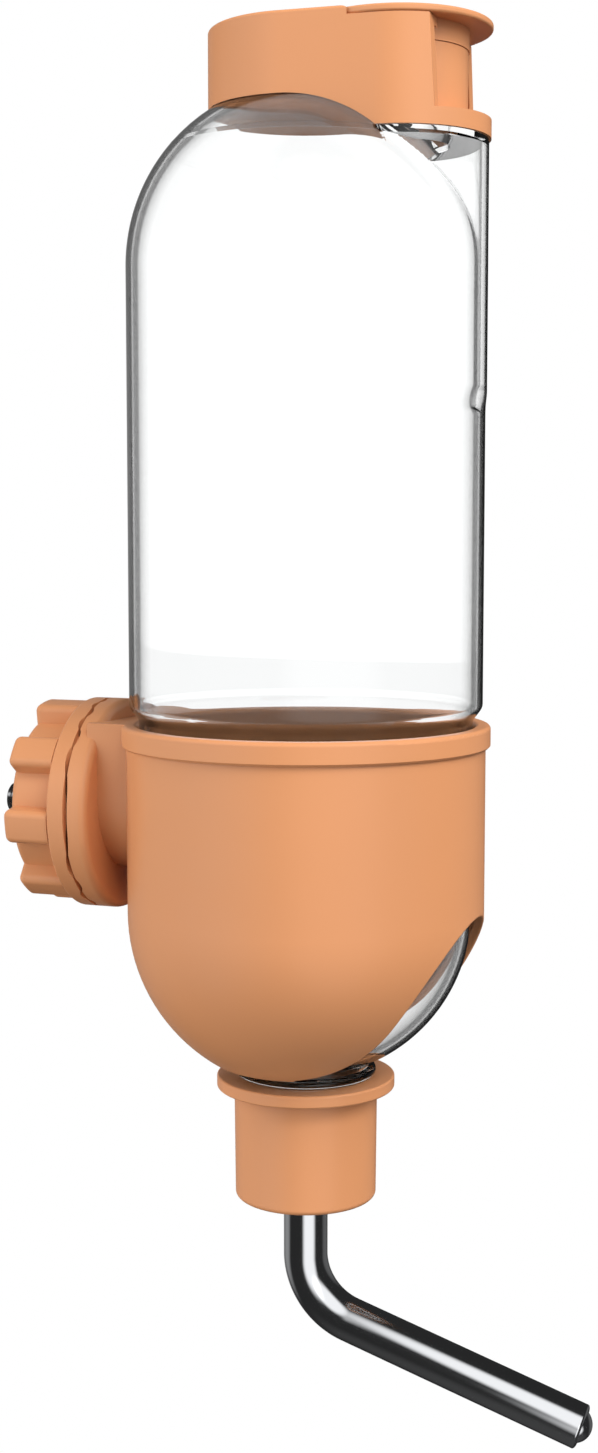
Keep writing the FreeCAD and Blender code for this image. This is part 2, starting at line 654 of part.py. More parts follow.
def round_window(cup):
    """Rounds the window's edges: those that lie both on its opening and on a face of the cup's wall."""
    doc.recompute()
    axis, dome, arch = number(BOTTLE_AXIS), number(LOWER_DOME), number(f"{LOWER_DOME} - dims.window_drop")
    faces, opening = (number(CUP_INNER), number(CUP_OUTER)), number("dims.window_radius")
    edges = []
    for index, edge in enumerate(cup.Shape.Edges, 1):
        middle = edge.valueAt((edge.FirstParameter + edge.LastParameter) / 2)
        from_axis = math.hypot(middle.x - axis, middle.y)
        from_dome = math.hypot(from_axis, min(middle.z - dome, 0))
        from_arch = math.hypot(middle.y, max(middle.z - arch, 0))
        on_wall = min(abs(from_dome - face) for face in faces) < 0.01
        if on_wall and middle.x > axis and abs(from_arch - opening) < 0.01:
            edges.append(index)
    rounding = number("dims.window_rounding")
    soft = doc.addObject("Part::Fillet", "cup_rounded")
    soft.Base = cup
    soft.Edges = [(index, rounding, rounding) for index in edges]
    return soft


def holder_cup():
    """Cup that the bottle drops into, with its collar band, front window, arm and ribbed jaw."""
    jaw = rounded_disc_x("jaw_disc", "dims.jaw_radius", JAW_FACE, JAW_BACK, "dims.jaw_rounding", False)
    ridge_room = cylinder_x("jaw_clip", "dims.jaw_radius - dims.wave_margin", f"-{FAR}", f"{JAW_FACE} + {PAST}")
    ridges = common("jaw_ridges", wave_rods("jaw_ridge_rods", JAW_FACE, True, "0"), ridge_room)
    hole_foot = f"{LOWER_DOME} - 2 * {CUP_OUTER}"
    cup = cut(
        "cup",
        fuse("cup_solid", cup_shell(), jaw, ridges, clamp_arm()),
        front_window(),
        cylinder("cup_hole", f"{FLANGE} + dims.cup_hole_gap", hole_foot, LOWER_DOME, BOTTLE_AXIS),
        cylinder_x("bolt_hole", "dims.bolt_radius", f"-{JAW_BACK}", f"{JAW_BACK} + {PAST}"),
        prism_x("head_room", "dims.bolt_head_flats", HEAD_SEAT, f"{BOTTLE_AXIS} - {BOTTLE_LOWER}"),
        wave_rods("jaw_grooves", JAW_FACE, False, "0.5"),
    )
    keep(round_window(cup), "holder_cup")


def clamp():
    """Bolt, ribbed clamp plate, washer, lobed knob and the nut pressed into it."""
    bolt_end = f"-({KNOB_BACK} + dims.bolt_tail)"
    shank = cylinder_x("bolt_shank", "dims.bolt_radius", bolt_end, f"{HEAD_SEAT} + {PAST}")
    head = prism_x("bolt_head", "dims.bolt_head_flats", HEAD_SEAT, HEAD_END)
    keep(fuse("bolt", shank, head), "clamp_bolt")

    faces = (f"-{PLATE_BACK}", f"-{JAW_FACE}")
    disc = rounded_disc_x("plate_disc", "dims.jaw_radius", *faces, "dims.plate_rounding", True)
    ridge_room = cylinder_x("plate_clip", "dims.jaw_radius - dims.wave_margin", f"-{JAW_FACE} - {PAST}", FAR)
    ridges = common("plate_ridges", wave_rods("plate_ridge_rods", f"-{JAW_FACE}", False, "0.5"), ridge_room)
    plate = cut(
        "plate",
        fuse("plate_solid", disc, ridges),
        wave_rods("plate_grooves", f"-{JAW_FACE}", True, "0"),
        cylinder_x("plate_hole", "dims.bolt_radius + dims.free_gap", f"-{FAR}", FAR),
    )
    keep(plate, "clamp_plate")

    washer_front = f"-({PLATE_BACK} + dims.seat_gap)"
    washer = cut(
        "washer",
        cylinder_x("washer_disc", "dims.washer_radius", f"-{WASHER_BACK}", washer_front),
        cylinder_x("washer_hole", "dims.bolt_radius + dims.free_gap", f"-{FAR}", "0"),
    )
    keep(washer, "clamp_washer")
    knob()


def knob_outline():
    """Corners of the knob's plan: straight-sided lobes with round ends, joined by round valleys."""
    half = "(dims.knob_lobe_width / 2)"
    root = f"sqrt({KNOB_VALLEY}^2 - {half}^2)"
    reach = f"sqrt(dims.knob_radius^2 - {half}^2)"
    corners = []
    for lobe in range(KNOB_LOBES):
        angle = f"(dims.knob_lobe_angle + {lobe * 360 / KNOB_LOBES})"

        def turned(along, across):
            x = f"{along} * cos({angle}) - ({across}) * sin({angle})"
            y = f"{along} * sin({angle}) + ({across}) * cos({angle})"
            return x, y

        corners.append(turned(root, f"-{half}"))
        corners.append(turned(reach, f"-{half}") + ("dims.knob_radius", True))
        corners.append(turned(reach, half))
        corners.append(turned(root, half) + (KNOB_VALLEY, True))
    return corners


def knob():
    """Lobed knob, drawn along its own Z, which points away from the bottle, and the nut pressed in it."""
    body = doc.addObject("PartDesign::Body", "knob_body")
    block = body.newObject("PartDesign::Pad", "knob_block")
    block.Profile = outline(body, "knob_plan", "XY_Plane", knob_outline())
    block.setExpression("Length", "dims.knob_thickness")
    doc.recompute()
    past_valley = number(f"{KNOB_VALLEY} + dims.knob_lobe_depth / 2")

    def outer_or_back(edge, top):
        middle = edge.CenterOfMass
        upright = edge.BoundBox.ZLength > top / 2
        return edge.BoundBox.ZMin > top or (upright and math.hypot(middle.x, middle.y) > past_valley)

    soften(body, block, "dims.knob_rounding", outer_or_back)
    turn(body, (0, 1, 0), "-90")
    place(body, f"-{KNOB_FRONT}")
    nut_back = f"(dims.nut_depth - {KNOB_BACK})"
    nut_front = f"({nut_back} + dims.nut_thickness)"
    past_back = f"-({KNOB_BACK} + {PAST})"
    washer_room = ("dims.washer_radius + dims.free_gap", f"-({WASHER_BACK} + dims.touch_gap)", "0")
    shell = cut(
        "knob_shell",
        body,
        cylinder_x("knob_bore", "dims.bolt_radius + dims.free_gap", past_back, "0"),
        cylinder_x("washer_room", *washer_room),
        prism_x("nut_room", "dims.nut_flats", past_back, nut_front),
    )
    keep(shell, "clamp_knob")
    nut = cut(
        "nut",
        prism_x("nut_block", "dims.nut_flats", nut_back, nut_front),
        cylinder_x("nut_bore", "dims.bolt_radius + dims.running_gap", past_back, "0"),
    )
    keep(nut, "knob_nut")


def screw_cap():
    """Cap with a tapered skirt and a flange, its grommet and gasket, and the collar that holds the tube."""
    stem_hole = f"({GROMMET_STEM} + dims.running_gap)"
    skirt_foot = f"({CAP_RADIUS} - dims.cap_taper)"
    cap = revolved(
        "cap",
        [
            (stem_hole, CAP_FOOT),
            (f"{skirt_foot} - dims.cap_rounding", CAP_FOOT, "dims.cap_rounding", True),
            (skirt_foot, f"{CAP_FOOT} + dims.cap_rounding"),
            (CAP_RADIUS, FLANGE_FOOT),
            *rounded_rim(FLANGE, FLANGE_FOOT, FLANGE_TOP, "dims.flange_rounding"),
            (CAP_BORE, FLANGE_TOP),
            (CAP_BORE, CAP_FLOOR_TOP),
            (stem_hole, CAP_FLOOR_TOP),
        ],
        BOTTLE_AXIS,
    )
    keep(cap, "screw_cap")
    tube_room = "(dims.tube_radius + dims.running_gap)"
    stem_foot = f"{CAP_FOOT} + dims.grommet_setback"
    flange_foot = f"{CAP_FLOOR_TOP} + dims.seat_gap"
    grommet = revolved(
        "grommet",
        [
            (tube_room, stem_foot),
            (GROMMET_STEM, stem_foot),
            (GROMMET_STEM, flange_foot),
            (GASKET_RADIUS, flange_foot),
            (GASKET_RADIUS, GROMMET_TOP),
            (tube_room, GROMMET_TOP),
        ],
        BOTTLE_AXIS,
    )
    keep(grommet, "tube_grommet")
    keep(ring("cap_seal", GASKET_RADIUS, OUTLET_BORE, GASKET_FOOT, GASKET_TOP, BOTTLE_AXIS), "cap_gasket")
    collar_radius = "dims.tube_radius + dims.tube_collar_width"
    collar = ring("tube_ring", collar_radius, "dims.tube_radius", GASKET_FOOT, COLLAR_TOP, BOTTLE_AXIS)
    keep(collar, "tube_collar")


def nozzle_point(distance):
    """The X, Y and Z of a point on the nozzle's sloping axis."""
    x = f"{BOTTLE_AXIS} + ({distance}) * cos(dims.nozzle_slope)"
    return x, "0", f"{BEND_LEVEL} - ({distance}) * sin(dims.nozzle_slope)"


def along_nozzle(name, radius, start, end):
    """A cylinder about the nozzle's sloping axis, between two distances from the middle of the bend."""
    piece = doc.addObject("Part::Cylinder", name)
    piece.setExpression("Radius", radius)
    piece.setExpression("Height", f"({end}) - ({start})")
    turn(piece, (0, 1, 0), "90 + dims.nozzle_slope")
    return place(piece, *nozzle_point(start))


def bent_tube(name, radius):
    """A rod along the nozzle's path: down the bottle's axis, round the bend and down the slope to the tip."""
    tangent = "(dims.bend_radius * tan(45 - dims.nozzle_slope / 2))"
    slope = "dims.nozzle_slope"
    body = doc.addObject("PartDesign::Body", name)
    path = outline(
        body,
        name + "_path",
        "XZ_Plane",
        [
            ("0", TUBE_TOP),
            ("0", f"{BEND_LEVEL} + {tangent}", "dims.bend_radius", True),
            (f"{tangent} * cos({slope})", f"{BEND_LEVEL} - {tangent} * sin({slope})"),
            ("dims.nozzle_reach", f"{BEND_LEVEL} - dims.nozzle_reach * tan({slope})"),
        ],
        closed=False,
    )
    mouth = body.newObject("Sketcher::SketchObject", name + "_mouth")
    mouth.AttachmentSupport = [(origin_plane(body, "XY_Plane"), "")]
    mouth.MapMode = "FlatFace"
    mouth.setExpression("AttachmentOffset.Base.z", TUBE_TOP)
    mouth.addGeometry(Part.Circle(FreeCAD.Vector(), FreeCAD.Vector(0, 0, 1), number(radius)))
    mouth.addConstraint(Sketcher.Constraint("Coincident", 0, 3, -1, 1))
    bind(mouth, Sketcher.Constraint("Radius", 0, number(radius)), "mouth_radius", radius)
    pipe = body.newObject("PartDesign::AdditivePipe", name + "_pipe")
    pipe.Profile = mouth
    pipe.Spine = (path, ["Edge1", "Edge2", "Edge3"])
    return place(body, BOTTLE_AXIS)


def nozzle():
    """Bent steel tube with a rolled-in tip that holds a ball, and a second ball behind it."""
    outside, bore = bent_tube("tube_outer", "dims.tube_radius"), bent_tube("tube_inner", TUBE_BORE)
    wall = cut("tube_wall_solid", outside, bore)
    lip = cut(
        "tip_lip_ring",
        along_nozzle("tip_lip_disc", "dims.tube_radius", f"{TIP_LENGTH} - dims.tip_lip", TIP_LENGTH),
        along_nozzle("tip_lip_hole", TIP_HOLE, f"{TIP_LENGTH} - {PAST}", f"{TIP_LENGTH} + {PAST}"),
    )
    keep(fuse("tube", wall, lip), "nozzle_tube")
    for label, places_back in (("tip_ball", 0), ("backup_ball", 1)):
        distance = f"({TIP_LENGTH} - {BALL_SETBACK} - {places_back} * {BALL_SPACING})"
        ball = doc.addObject("Part::Sphere", label + "_form")
        ball.setExpression("Radius", BALL)
        keep(place(ball, *nozzle_point(distance)), label)


def check_and_export():
    """Stops on any failed object or bad shape, then writes each piece."""
    doc.recompute()
    failed = [o.Name for o in doc.Objects if "Invalid" in o.State or "Error" in o.State]
    if failed:
        raise RuntimeError(f"objects that failed: {failed}")
    for piece in PIECES:
        shape = piece.Shape
        if shape.isNull() or not shape.isValid() or not shape.Solids:
            raise RuntimeError(f"{piece.Label} has no valid solid")
        print(f"{piece.Label}: {len(shape.Solids)} solid, {shape.Volume / 1000:.2f} cm3")
    os.makedirs("parts", exist_ok=True)
    for piece in PIECES:
        piece.Shape.exportStep(f"parts/{piece.Label}.step")


holder_cup()
clamp()
bottle()
filler_housing()
flip_lid()
screw_cap()
nozzle()
check_and_export()
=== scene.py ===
"""Clear cage bottle with a clamp-on cup, a flip-lid filler and a bent steel drinking tube."""

import math
from contextlib import contextmanager

import bmesh
import bpy
from bpy.props import FloatProperty, FloatVectorProperty, IntProperty, PointerProperty
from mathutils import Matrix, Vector


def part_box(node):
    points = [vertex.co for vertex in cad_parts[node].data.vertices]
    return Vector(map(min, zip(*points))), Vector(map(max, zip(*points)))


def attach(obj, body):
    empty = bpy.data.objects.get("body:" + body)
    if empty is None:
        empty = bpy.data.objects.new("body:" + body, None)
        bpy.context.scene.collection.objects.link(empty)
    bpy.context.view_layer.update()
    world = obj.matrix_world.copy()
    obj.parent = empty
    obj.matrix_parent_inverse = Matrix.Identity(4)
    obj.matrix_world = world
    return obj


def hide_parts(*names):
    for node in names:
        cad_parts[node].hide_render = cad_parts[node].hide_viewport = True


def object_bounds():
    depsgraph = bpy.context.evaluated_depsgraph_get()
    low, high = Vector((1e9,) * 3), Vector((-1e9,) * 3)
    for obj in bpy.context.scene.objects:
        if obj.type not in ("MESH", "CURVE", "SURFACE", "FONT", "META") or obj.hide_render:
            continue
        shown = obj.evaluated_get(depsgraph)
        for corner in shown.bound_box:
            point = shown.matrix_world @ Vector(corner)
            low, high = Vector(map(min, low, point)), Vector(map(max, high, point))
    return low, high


bl_info = {
    "name": "Cage Bottle Finishes",
    "version": (1, 0, 0),
    "blender": (4, 5, 0),
    "location": "View3D > Sidebar > Bottle",
    "description": "Builds the clear bottle, steel tube, threads and moulded parts of a cage bottle",
    "category": "Mesh",
}

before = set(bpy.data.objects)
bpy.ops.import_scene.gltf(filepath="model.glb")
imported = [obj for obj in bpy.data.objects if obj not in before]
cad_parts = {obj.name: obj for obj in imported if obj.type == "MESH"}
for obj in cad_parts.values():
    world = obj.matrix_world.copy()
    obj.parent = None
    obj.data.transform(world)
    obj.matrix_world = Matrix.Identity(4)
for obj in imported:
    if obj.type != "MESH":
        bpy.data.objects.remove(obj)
frame_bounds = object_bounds()


def middle(node):
    """The middle of a node's box at rest."""
    low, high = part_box(node)
    return (low + high) / 2


AXIS_X = middle("screw_cap").x
SPOUT_X = middle("filler_gasket").x
BOTTLE_LOW, BOTTLE_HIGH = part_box("bottle_body")
BOLT_LOW, BOLT_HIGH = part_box("clamp_bolt")
CAP_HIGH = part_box("screw_cap")[1]
TUBE_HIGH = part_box("nozzle_tube")[1]
CUP_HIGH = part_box("holder_cup")[1]
MM = 0.001
WELD = 0.001 * MM  # points closer together than this become one

ORANGE_NODES = ("holder_cup", "clamp_plate", "clamp_knob", "filler_housing", "flip_lid", "screw_cap")
STEEL_NODES = ("clamp_washer", "knob_nut", "lid_hinge_pin", "tube_collar")
POLISHED_NODES = ("tip_ball", "backup_ball")
RUBBER_NODES = ("lid_plug_seal", "filler_gasket", "tube_grommet", "cap_gasket")


def length(name, description, default):
    """A length property in metres."""
    return FloatProperty(name=name, description=description, default=default, unit="LENGTH", precision=5)


def colour(name, description, default):
    """A colour property."""
    return FloatVectorProperty(name=name, description=description, default=default, subtype="COLOR", size=3)


class BottleSizes(bpy.types.PropertyGroup):
    """Sizes and levels of the clear bottle"""

    radius: length("Radius", "Outside of the tall clear part", (BOTTLE_HIGH.y - BOTTLE_LOW.y) / 2)
    foot_radius: length("Foot radius", "Outside of the part that stands in the cup", 0.0312)
    wall: length("Wall", "Thickness of the clear wall", 0.0012)
    upper_dome: length("Upper dome level", "Height of the upper dome's centre", 0.1004)
    lower_dome: length("Lower dome level", "Height of the lower dome's centre", -0.0186)
    shoulder: length("Shoulder level", "Where the foot starts to widen", CUP_HIGH.z - 3.2 * MM)
    shoulder_rise: length("Shoulder rise", "Height of the widening", 0.0036)
    spout_radius: length("Spout radius", "Radius of the filler spout", 0.0164)
    spout_foot: length("Spout foot", "Level of the spout's lower end", 0.0778)
    spout_ease: length("Spout ease", "Height over which the spout's foot swells out", 0.0045)
    spout_top: length(
        "Spout top", "Level of the spout's flat top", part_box("filler_housing")[0].z - 0.1 * MM
    )
    crease: length("Crease", "Softness of the fold between spout and dome", 0.0007)
    neck_radius: length("Filler neck radius", "Radius of the filler neck", 0.0106)
    outlet_radius: length("Outlet radius", "Radius of the outlet neck", 0.0118)
    outlet_bore: length("Outlet bore", "Radius of the hole in the outlet neck", 0.0102)
    collar_radius: length("Collar radius", "Radius of the bead over the cap", 0.0134)
    segments: IntProperty(name="Segments", description="Faces round the bottle", default=240)


class NozzleSizes(bpy.types.PropertyGroup):
    """Sizes of the bent steel tube"""

    radius: length("Radius", "Outside of the steel tube", 0.0042)
    wall: length("Wall", "Thickness of the tube's wall", 0.0005)
    bend_radius: length("Bend radius", "Radius of the bend at the middle of the tube", 0.0129)
    bend_level: length("Bend level", "Where the upright and the sloping axis meet", -0.0949)
    reach: length("Reach", "How far the tip stands in front of the bottle's axis", 0.0544)
    slope: FloatProperty(
        name="Slope", description="Angle below level", default=math.radians(17.6), subtype="ANGLE"
    )
    mouth_radius: length("Mouth radius", "Radius of the rolled-in mouth", 0.00315)


class ThreadSizes(bpy.types.PropertyGroup):
    """Sizes of the two threads"""

    bolt_pitch: length("Bolt pitch", "Rise of the bolt's thread in one turn", 0.001)
    bolt_depth: length("Bolt thread depth", "Height of the bolt's thread", 0.0005)
    neck_pitch: length("Neck pitch", "Rise of the outlet neck's thread in one turn", 0.003)
    neck_depth: length("Neck thread depth", "Height of the outlet neck's thread", 0.0003)


class BottleColours(bpy.types.PropertyGroup):
    """Base colours of the materials"""

    orange: colour("Orange", "Moulded plastic", (0.67, 0.288, 0.125))
    clear: colour("Clear", "Bottle plastic seen straight on", (0.985, 0.99, 0.99))
    # Painted shade: the black base colour that the bottle's wall takes where it is seen edge on
    clear_painted_edge_shade: colour("Clear edge", "Bottle plastic seen along its wall", (0.0, 0.0, 0.0))
    polished: colour("Polished steel", "Drinking tube and balls", (0.93, 0.93, 0.94))
    plated: colour("Plated steel", "Bolt, nut, washer and pin", (0.66, 0.665, 0.68))
    rubber: colour("Rubber", "Seals and grommet", (0.62, 0.61, 0.58))


class StudioSettings(bpy.types.PropertyGroup):
    """The camera's place, turn and lens, and the floor's level"""

    camera_place: FloatVectorProperty(
        name="Camera",
        description="Where the camera stands",
        default=(0.16812, -0.35414, 0.0543),
        subtype="XYZ",
    )
    camera_azimuth: FloatProperty(
        name="Camera azimuth", description="Turn of the view", default=math.radians(20), subtype="ANGLE"
    )
    camera_tilt: FloatProperty(
        name="Camera tilt",
        description="How far the view looks down",
        default=math.radians(5.79),
        subtype="ANGLE",
    )
    lens: FloatProperty(name="Lens", description="Focal length in millimetres", default=50.0)
    floor_level: length("Floor level", "Height of the pale floor", -0.19)


# ---------------------------------------------------------------- meshes


def new_object(name, data):
    """Links a mesh, a curve, a lamp or a camera as an object at the origin."""
    piece = bpy.data.objects.new(name, data)
    bpy.context.scene.collection.objects.link(piece)
    return piece


def smooth(piece, degrees):
    """Shades a piece smooth but for its folds sharper than an angle."""
    piece.data.shade_smooth()
    piece.data.set_sharp_from_angle(angle=math.radians(degrees))


@contextmanager
def edited(mesh):
    """The faces of a mesh, opened for a change and then written back."""
    shape = bmesh.new()
    shape.from_mesh(mesh)
    yield shape
    shape.to_mesh(mesh)
    shape.free()


def skin(name, rings):
    """A mesh through rings of points with the same count, low to high, with its ends closed by fans."""
    mesh = bpy.data.meshes.new(name)
    with edited(mesh) as shape:
        loops = [[shape.verts.new(point) for point in ring] for ring in rings]
        count = len(loops[0])
        for low, high in zip(loops, loops[1:]):
            for i in range(count):
                j = (i + 1) % count
                shape.faces.new((low[i], low[j], high[j], high[i]))
        for loop, flip in ((loops[0], True), (loops[-1], False)):
            centre = shape.verts.new(sum((vert.co for vert in loop), Vector()) / count)
            for i in range(count):
                j = (i + 1) % count
                shape.faces.new((loop[j], loop[i], centre) if flip else (loop[i], loop[j], centre))
    return mesh


def level_ring(reach, level, x, count):
    """A level ring of points about an upright axis, its radius a function of the direction."""
    ring = []
    for i in range(count):
        turn = 2 * math.pi * i / count
        radius = reach(turn)
        ring.append(Vector((x + radius * math.cos(turn), radius * math.sin(turn), level)))
    return ring


def circle(radius, level, x, count):
    """A level ring of points with one radius."""
    return level_ring(lambda turn: radius, level, x, count)


def flatten_modifiers(piece):
    """Makes a plain mesh of a piece and its modifiers; a curve becomes a new object of the same name."""
    graph = bpy.context.evaluated_depsgraph_get()
    mesh = bpy.data.meshes.new_from_object(piece.evaluated_get(graph))
    old, name = piece.data, piece.name
    if isinstance(old, bpy.types.Curve):
        bpy.data.objects.remove(piece)
        bpy.data.curves.remove(old)
        piece = new_object(name, mesh)
    else:
        piece.modifiers.clear()
        piece.data = mesh
        bpy.data.meshes.remove(old)
    mesh.name = name
    return piece


def combine(piece, other, operation):
    """Joins, or cuts, one closed mesh with another."""
    change = piece.modifiers.new("combine", "BOOLEAN")
    change.operation, change.object, change.solver = operation, other, "EXACT"
    flatten_modifiers(piece)
    mesh = other.data
    bpy.data.objects.remove(other)
    bpy.data.meshes.remove(mesh)


def paint(mesh, look):
    """Gives a mesh one of the finished materials."""
    mesh.materials.clear()
    mesh.materials.append(material_named(look))


def finish(piece, look, body, slot, *nodes):
    """Gives a piece its material and its body, and hides the nodes that it stands for; the slot is not
    used.
    """
    paint(piece.data, look)
    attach(piece, body)
    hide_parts(*nodes)


def carry_over(look, nodes):
    """Gives nodes whose shape stays as it is their finished material."""
    for node in nodes:
        paint(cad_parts[node].data, look)


# ---------------------------------------------------------------- shader groups and materials


def group_tree(name, inputs, outputs):
    """A shader node group with named float or vector sockets."""
    tree = bpy.data.node_groups.new(name, "ShaderNodeTree")
    for label, kind, default in inputs:
        socket = tree.interface.new_socket(label, in_out="INPUT", socket_type=kind)
        socket.default_value = default
    for label, kind in outputs:
        tree.interface.new_socket(label, in_out="OUTPUT", socket_type=kind)
    return tree, tree.nodes.new("NodeGroupInput"), tree.nodes.new("NodeGroupOutput")


def feed(tree, value, socket):
    """Sets an input socket to a number, or links another socket to it."""
    if isinstance(value, (int, float)):
        socket.default_value = value
    else:
        tree.links.new(value, socket)


def noise(tree, vector, scale, detail, roughness=0.5):
    """A noise texture node."""
    texture = tree.nodes.new("ShaderNodeTexNoise")
    texture.inputs["Detail"].default_value = detail
    texture.inputs["Roughness"].default_value = roughness
    tree.links.new(vector, texture.inputs["Vector"])
    feed(tree, scale, texture.inputs["Scale"])
    return texture.outputs["Fac"]


def math_node(tree, operation, *values):
    """A math node whose inputs are numbers or sockets."""
    node = tree.nodes.new("ShaderNodeMath")
    node.operation = operation
    for socket, value in zip(node.inputs, values):
        feed(tree, value, socket)
    return node.outputs[0]


def spread(tree, value, low, high):
    """Maps a noise value, which mostly stays between 0.3 and 0.7, to a range."""
    node = tree.nodes.new("ShaderNodeMapRange")
    node.inputs["From Min"].default_value = 0.3
    node.inputs["From Max"].default_value = 0.7
    for label, given in (("Value", value), ("To Min", low), ("To Max", high)):
        feed(tree, given, node.inputs[label])
    return node.outputs["Result"]


def surface_grain():
    """Fine grain and slow drift: a tint factor, a roughness and a height that change over the surface."""
    tree, given, made = group_tree(
        "surface_grain",
        (
            ("Vector", "NodeSocketVector", (0, 0, 0)),
            ("Grain Scale", "NodeSocketFloat", 2600.0),
            ("Roughness Low", "NodeSocketFloat", 0.3),
            ("Roughness High", "NodeSocketFloat", 0.4),
        ),
        (("Tint", "NodeSocketFloat"), ("Roughness", "NodeSocketFloat"), ("Height", "NodeSocketFloat")),
    )
    vector = given.outputs["Vector"]
    drift = noise(tree, vector, 28.0, 2.0)
    grain = noise(tree, vector, given.outputs["Grain Scale"], 2.0)
    cloud = noise(tree, vector, 140.0, 3.0, 0.6)
    tree.links.new(spread(tree, drift, 0.0, 1.0), made.inputs["Tint"])
    rough = spread(tree, cloud, given.outputs["Roughness Low"], given.outputs["Roughness High"])
    tree.links.new(rough, made.inputs["Roughness"])
    height = math_node(tree, "MULTIPLY_ADD", cloud, 0.4, math_node(tree, "MULTIPLY", grain, 0.6))
    tree.links.new(height, made.inputs["Height"])
    return tree


def drawn_lines():
    """Fine lines along one direction with faint smudges, as drawn or turned steel has."""
    tree, given, made = group_tree(
        "drawn_lines",
        (
            ("Vector", "NodeSocketVector", (0, 0, 0)),
            ("Stretch", "NodeSocketVector", (3000.0, 3000.0, 60.0)),
            ("Roughness Low", "NodeSocketFloat", 0.02),
            ("Roughness High", "NodeSocketFloat", 0.06),
        ),
        (("Roughness", "NodeSocketFloat"), ("Height", "NodeSocketFloat")),
    )
    stretch = tree.nodes.new("ShaderNodeVectorMath")
    stretch.operation = "MULTIPLY"
    tree.links.new(given.outputs["Vector"], stretch.inputs[0])
    tree.links.new(given.outputs["Stretch"], stretch.inputs[1])
    lines = noise(tree, stretch.outputs[0], 1.0, 3.0, 0.6)
    smudge = noise(tree, given.outputs["Vector"], 90.0, 3.0, 0.6)
    both = math_node(tree, "MULTIPLY_ADD", lines, 0.5, math_node(tree, "MULTIPLY", smudge, 0.5))
    rough = spread(tree, both, given.outputs["Roughness Low"], given.outputs["Roughness High"])
    tree.links.new(rough, made.inputs["Roughness"])
    tree.links.new(lines, made.inputs["Height"])
    return tree


def new_material(name):
    """A material: itself, its tree, its Principled shader and its object coordinates."""
    material = bpy.data.materials.new(name)
    material.use_nodes = True
    tree = material.node_tree
    shader = tree.nodes["Principled BSDF"]
    place = tree.nodes.new("ShaderNodeTexCoord").outputs["Object"]
    return material, tree, shader, place


def use_group(tree, group, place, **values):
    """Puts a shared group in a material with its own values."""
    node = tree.nodes.new("ShaderNodeGroup")
    node.node_tree = group
    tree.links.new(place, node.inputs["Vector"])
    for label, value in values.items():
        node.inputs[label.replace("_", " ")].default_value = value
    return node


def bump(tree, shader, height, distance):
    """Feeds a height to the shader's normal."""
    node = tree.nodes.new("ShaderNodeBump")
    node.inputs["Distance"].default_value = distance
    tree.links.new(height, node.inputs["Height"])
    tree.links.new(node.outputs["Normal"], shader.inputs["Normal"])


def tinted(tree, factor, first, second):
    """A colour between two colours."""
    node = tree.nodes.new("ShaderNodeMix")
    node.data_type = "RGBA"
    for socket, shade in zip((s for s in node.inputs if s.type == "RGBA"), (first, second)):
        socket.default_value = (*shade, 1.0)
    tree.links.new(factor, node.inputs[0])
    return next(s for s in node.outputs if s.type == "RGBA")


def scaled(shade, factor):
    """A lighter or darker colour."""
    return tuple(min(1.0, part * factor) for part in shade)


def moulded_plastic(grain, shade):
    """Satin moulded plastic with a slow drift of tone and a fine spark-eroded grain."""
    material, tree, shader, place = new_material("moulded_orange")
    group = use_group(tree, grain, place, Grain_Scale=2600.0, Roughness_Low=0.30, Roughness_High=0.37)
    tone = tinted(tree, group.outputs["Tint"], scaled(shade, 0.985), scaled(shade, 1.015))
    tree.links.new(tone, shader.inputs["Base Color"])
    tree.links.new(group.outputs["Roughness"], shader.inputs["Roughness"])
    shader.inputs["IOR"].default_value = 1.46
    bump(tree, shader, group.outputs["Height"], 0.000012)
    return material


def clear_plastic(grain, shade, edge):
    """Clear blown plastic with a painted shade that turns its base colour grey and then black where the
    wall is seen edge on.
    """
    material, tree, shader, place = new_material("clear_bottle")
    # Painted shade: the facing ramp takes the base colour from clear through grey to black towards the
    # wall's edges
    facing = tree.nodes.new("ShaderNodeLayerWeight")
    facing.inputs["Blend"].default_value = 0.5
    ramp = tree.nodes.new("ShaderNodeValToRGB")
    painted_edge_grey, painted_edge_black = (0.42,) * 3, (0.012,) * 3
    bands = ((0.58, shade), (0.73, painted_edge_grey), (0.765, painted_edge_black), (0.86, edge))
    for position, _ in bands[1:-1]:
        ramp.color_ramp.elements.new(position)
    for element, (position, tone) in zip(ramp.color_ramp.elements, bands):
        element.position, element.color = position, (*tone, 1.0)
    tree.links.new(facing.outputs["Facing"], ramp.inputs["Fac"])
    tree.links.new(ramp.outputs["Color"], shader.inputs["Base Color"])
    group = use_group(tree, grain, place, Grain_Scale=600.0, Roughness_Low=0.0, Roughness_High=0.02)
    tree.links.new(group.outputs["Roughness"], shader.inputs["Roughness"])
    shader.inputs["Transmission Weight"].default_value = 1.0
    shader.inputs["IOR"].default_value = 1.45
    return material


def steel(name, lines, shade, low, high, stretch, depth):
    """Bare or plated steel with fine lines along its length."""
    material, tree, shader, place = new_material(name)
    group = use_group(tree, lines, place, Stretch=stretch, Roughness_Low=low, Roughness_High=high)
    shader.inputs["Metallic"].default_value = 1.0
    smudge = noise(tree, place, 120.0, 3.0)
    tone = tinted(tree, spread(tree, smudge, 0.0, 1.0), scaled(shade, 0.96), scaled(shade, 1.03))
    tree.links.new(tone, shader.inputs["Base Color"])
    tree.links.new(group.outputs["Roughness"], shader.inputs["Roughness"])
    bump(tree, shader, group.outputs["Height"], depth)
    return material


def soft_rubber(grain, shade):
    """Matt silicone rubber."""
    material, tree, shader, place = new_material("soft_rubber")
    group = use_group(tree, grain, place, Grain_Scale=1800.0, Roughness_Low=0.55, Roughness_High=0.7)
    tone = tinted(tree, group.outputs["Tint"], scaled(shade, 0.94), scaled(shade, 1.04))
    tree.links.new(tone, shader.inputs["Base Color"])
    tree.links.new(group.outputs["Roughness"], shader.inputs["Roughness"])
    bump(tree, shader, group.outputs["Height"], 0.00003)
    return material


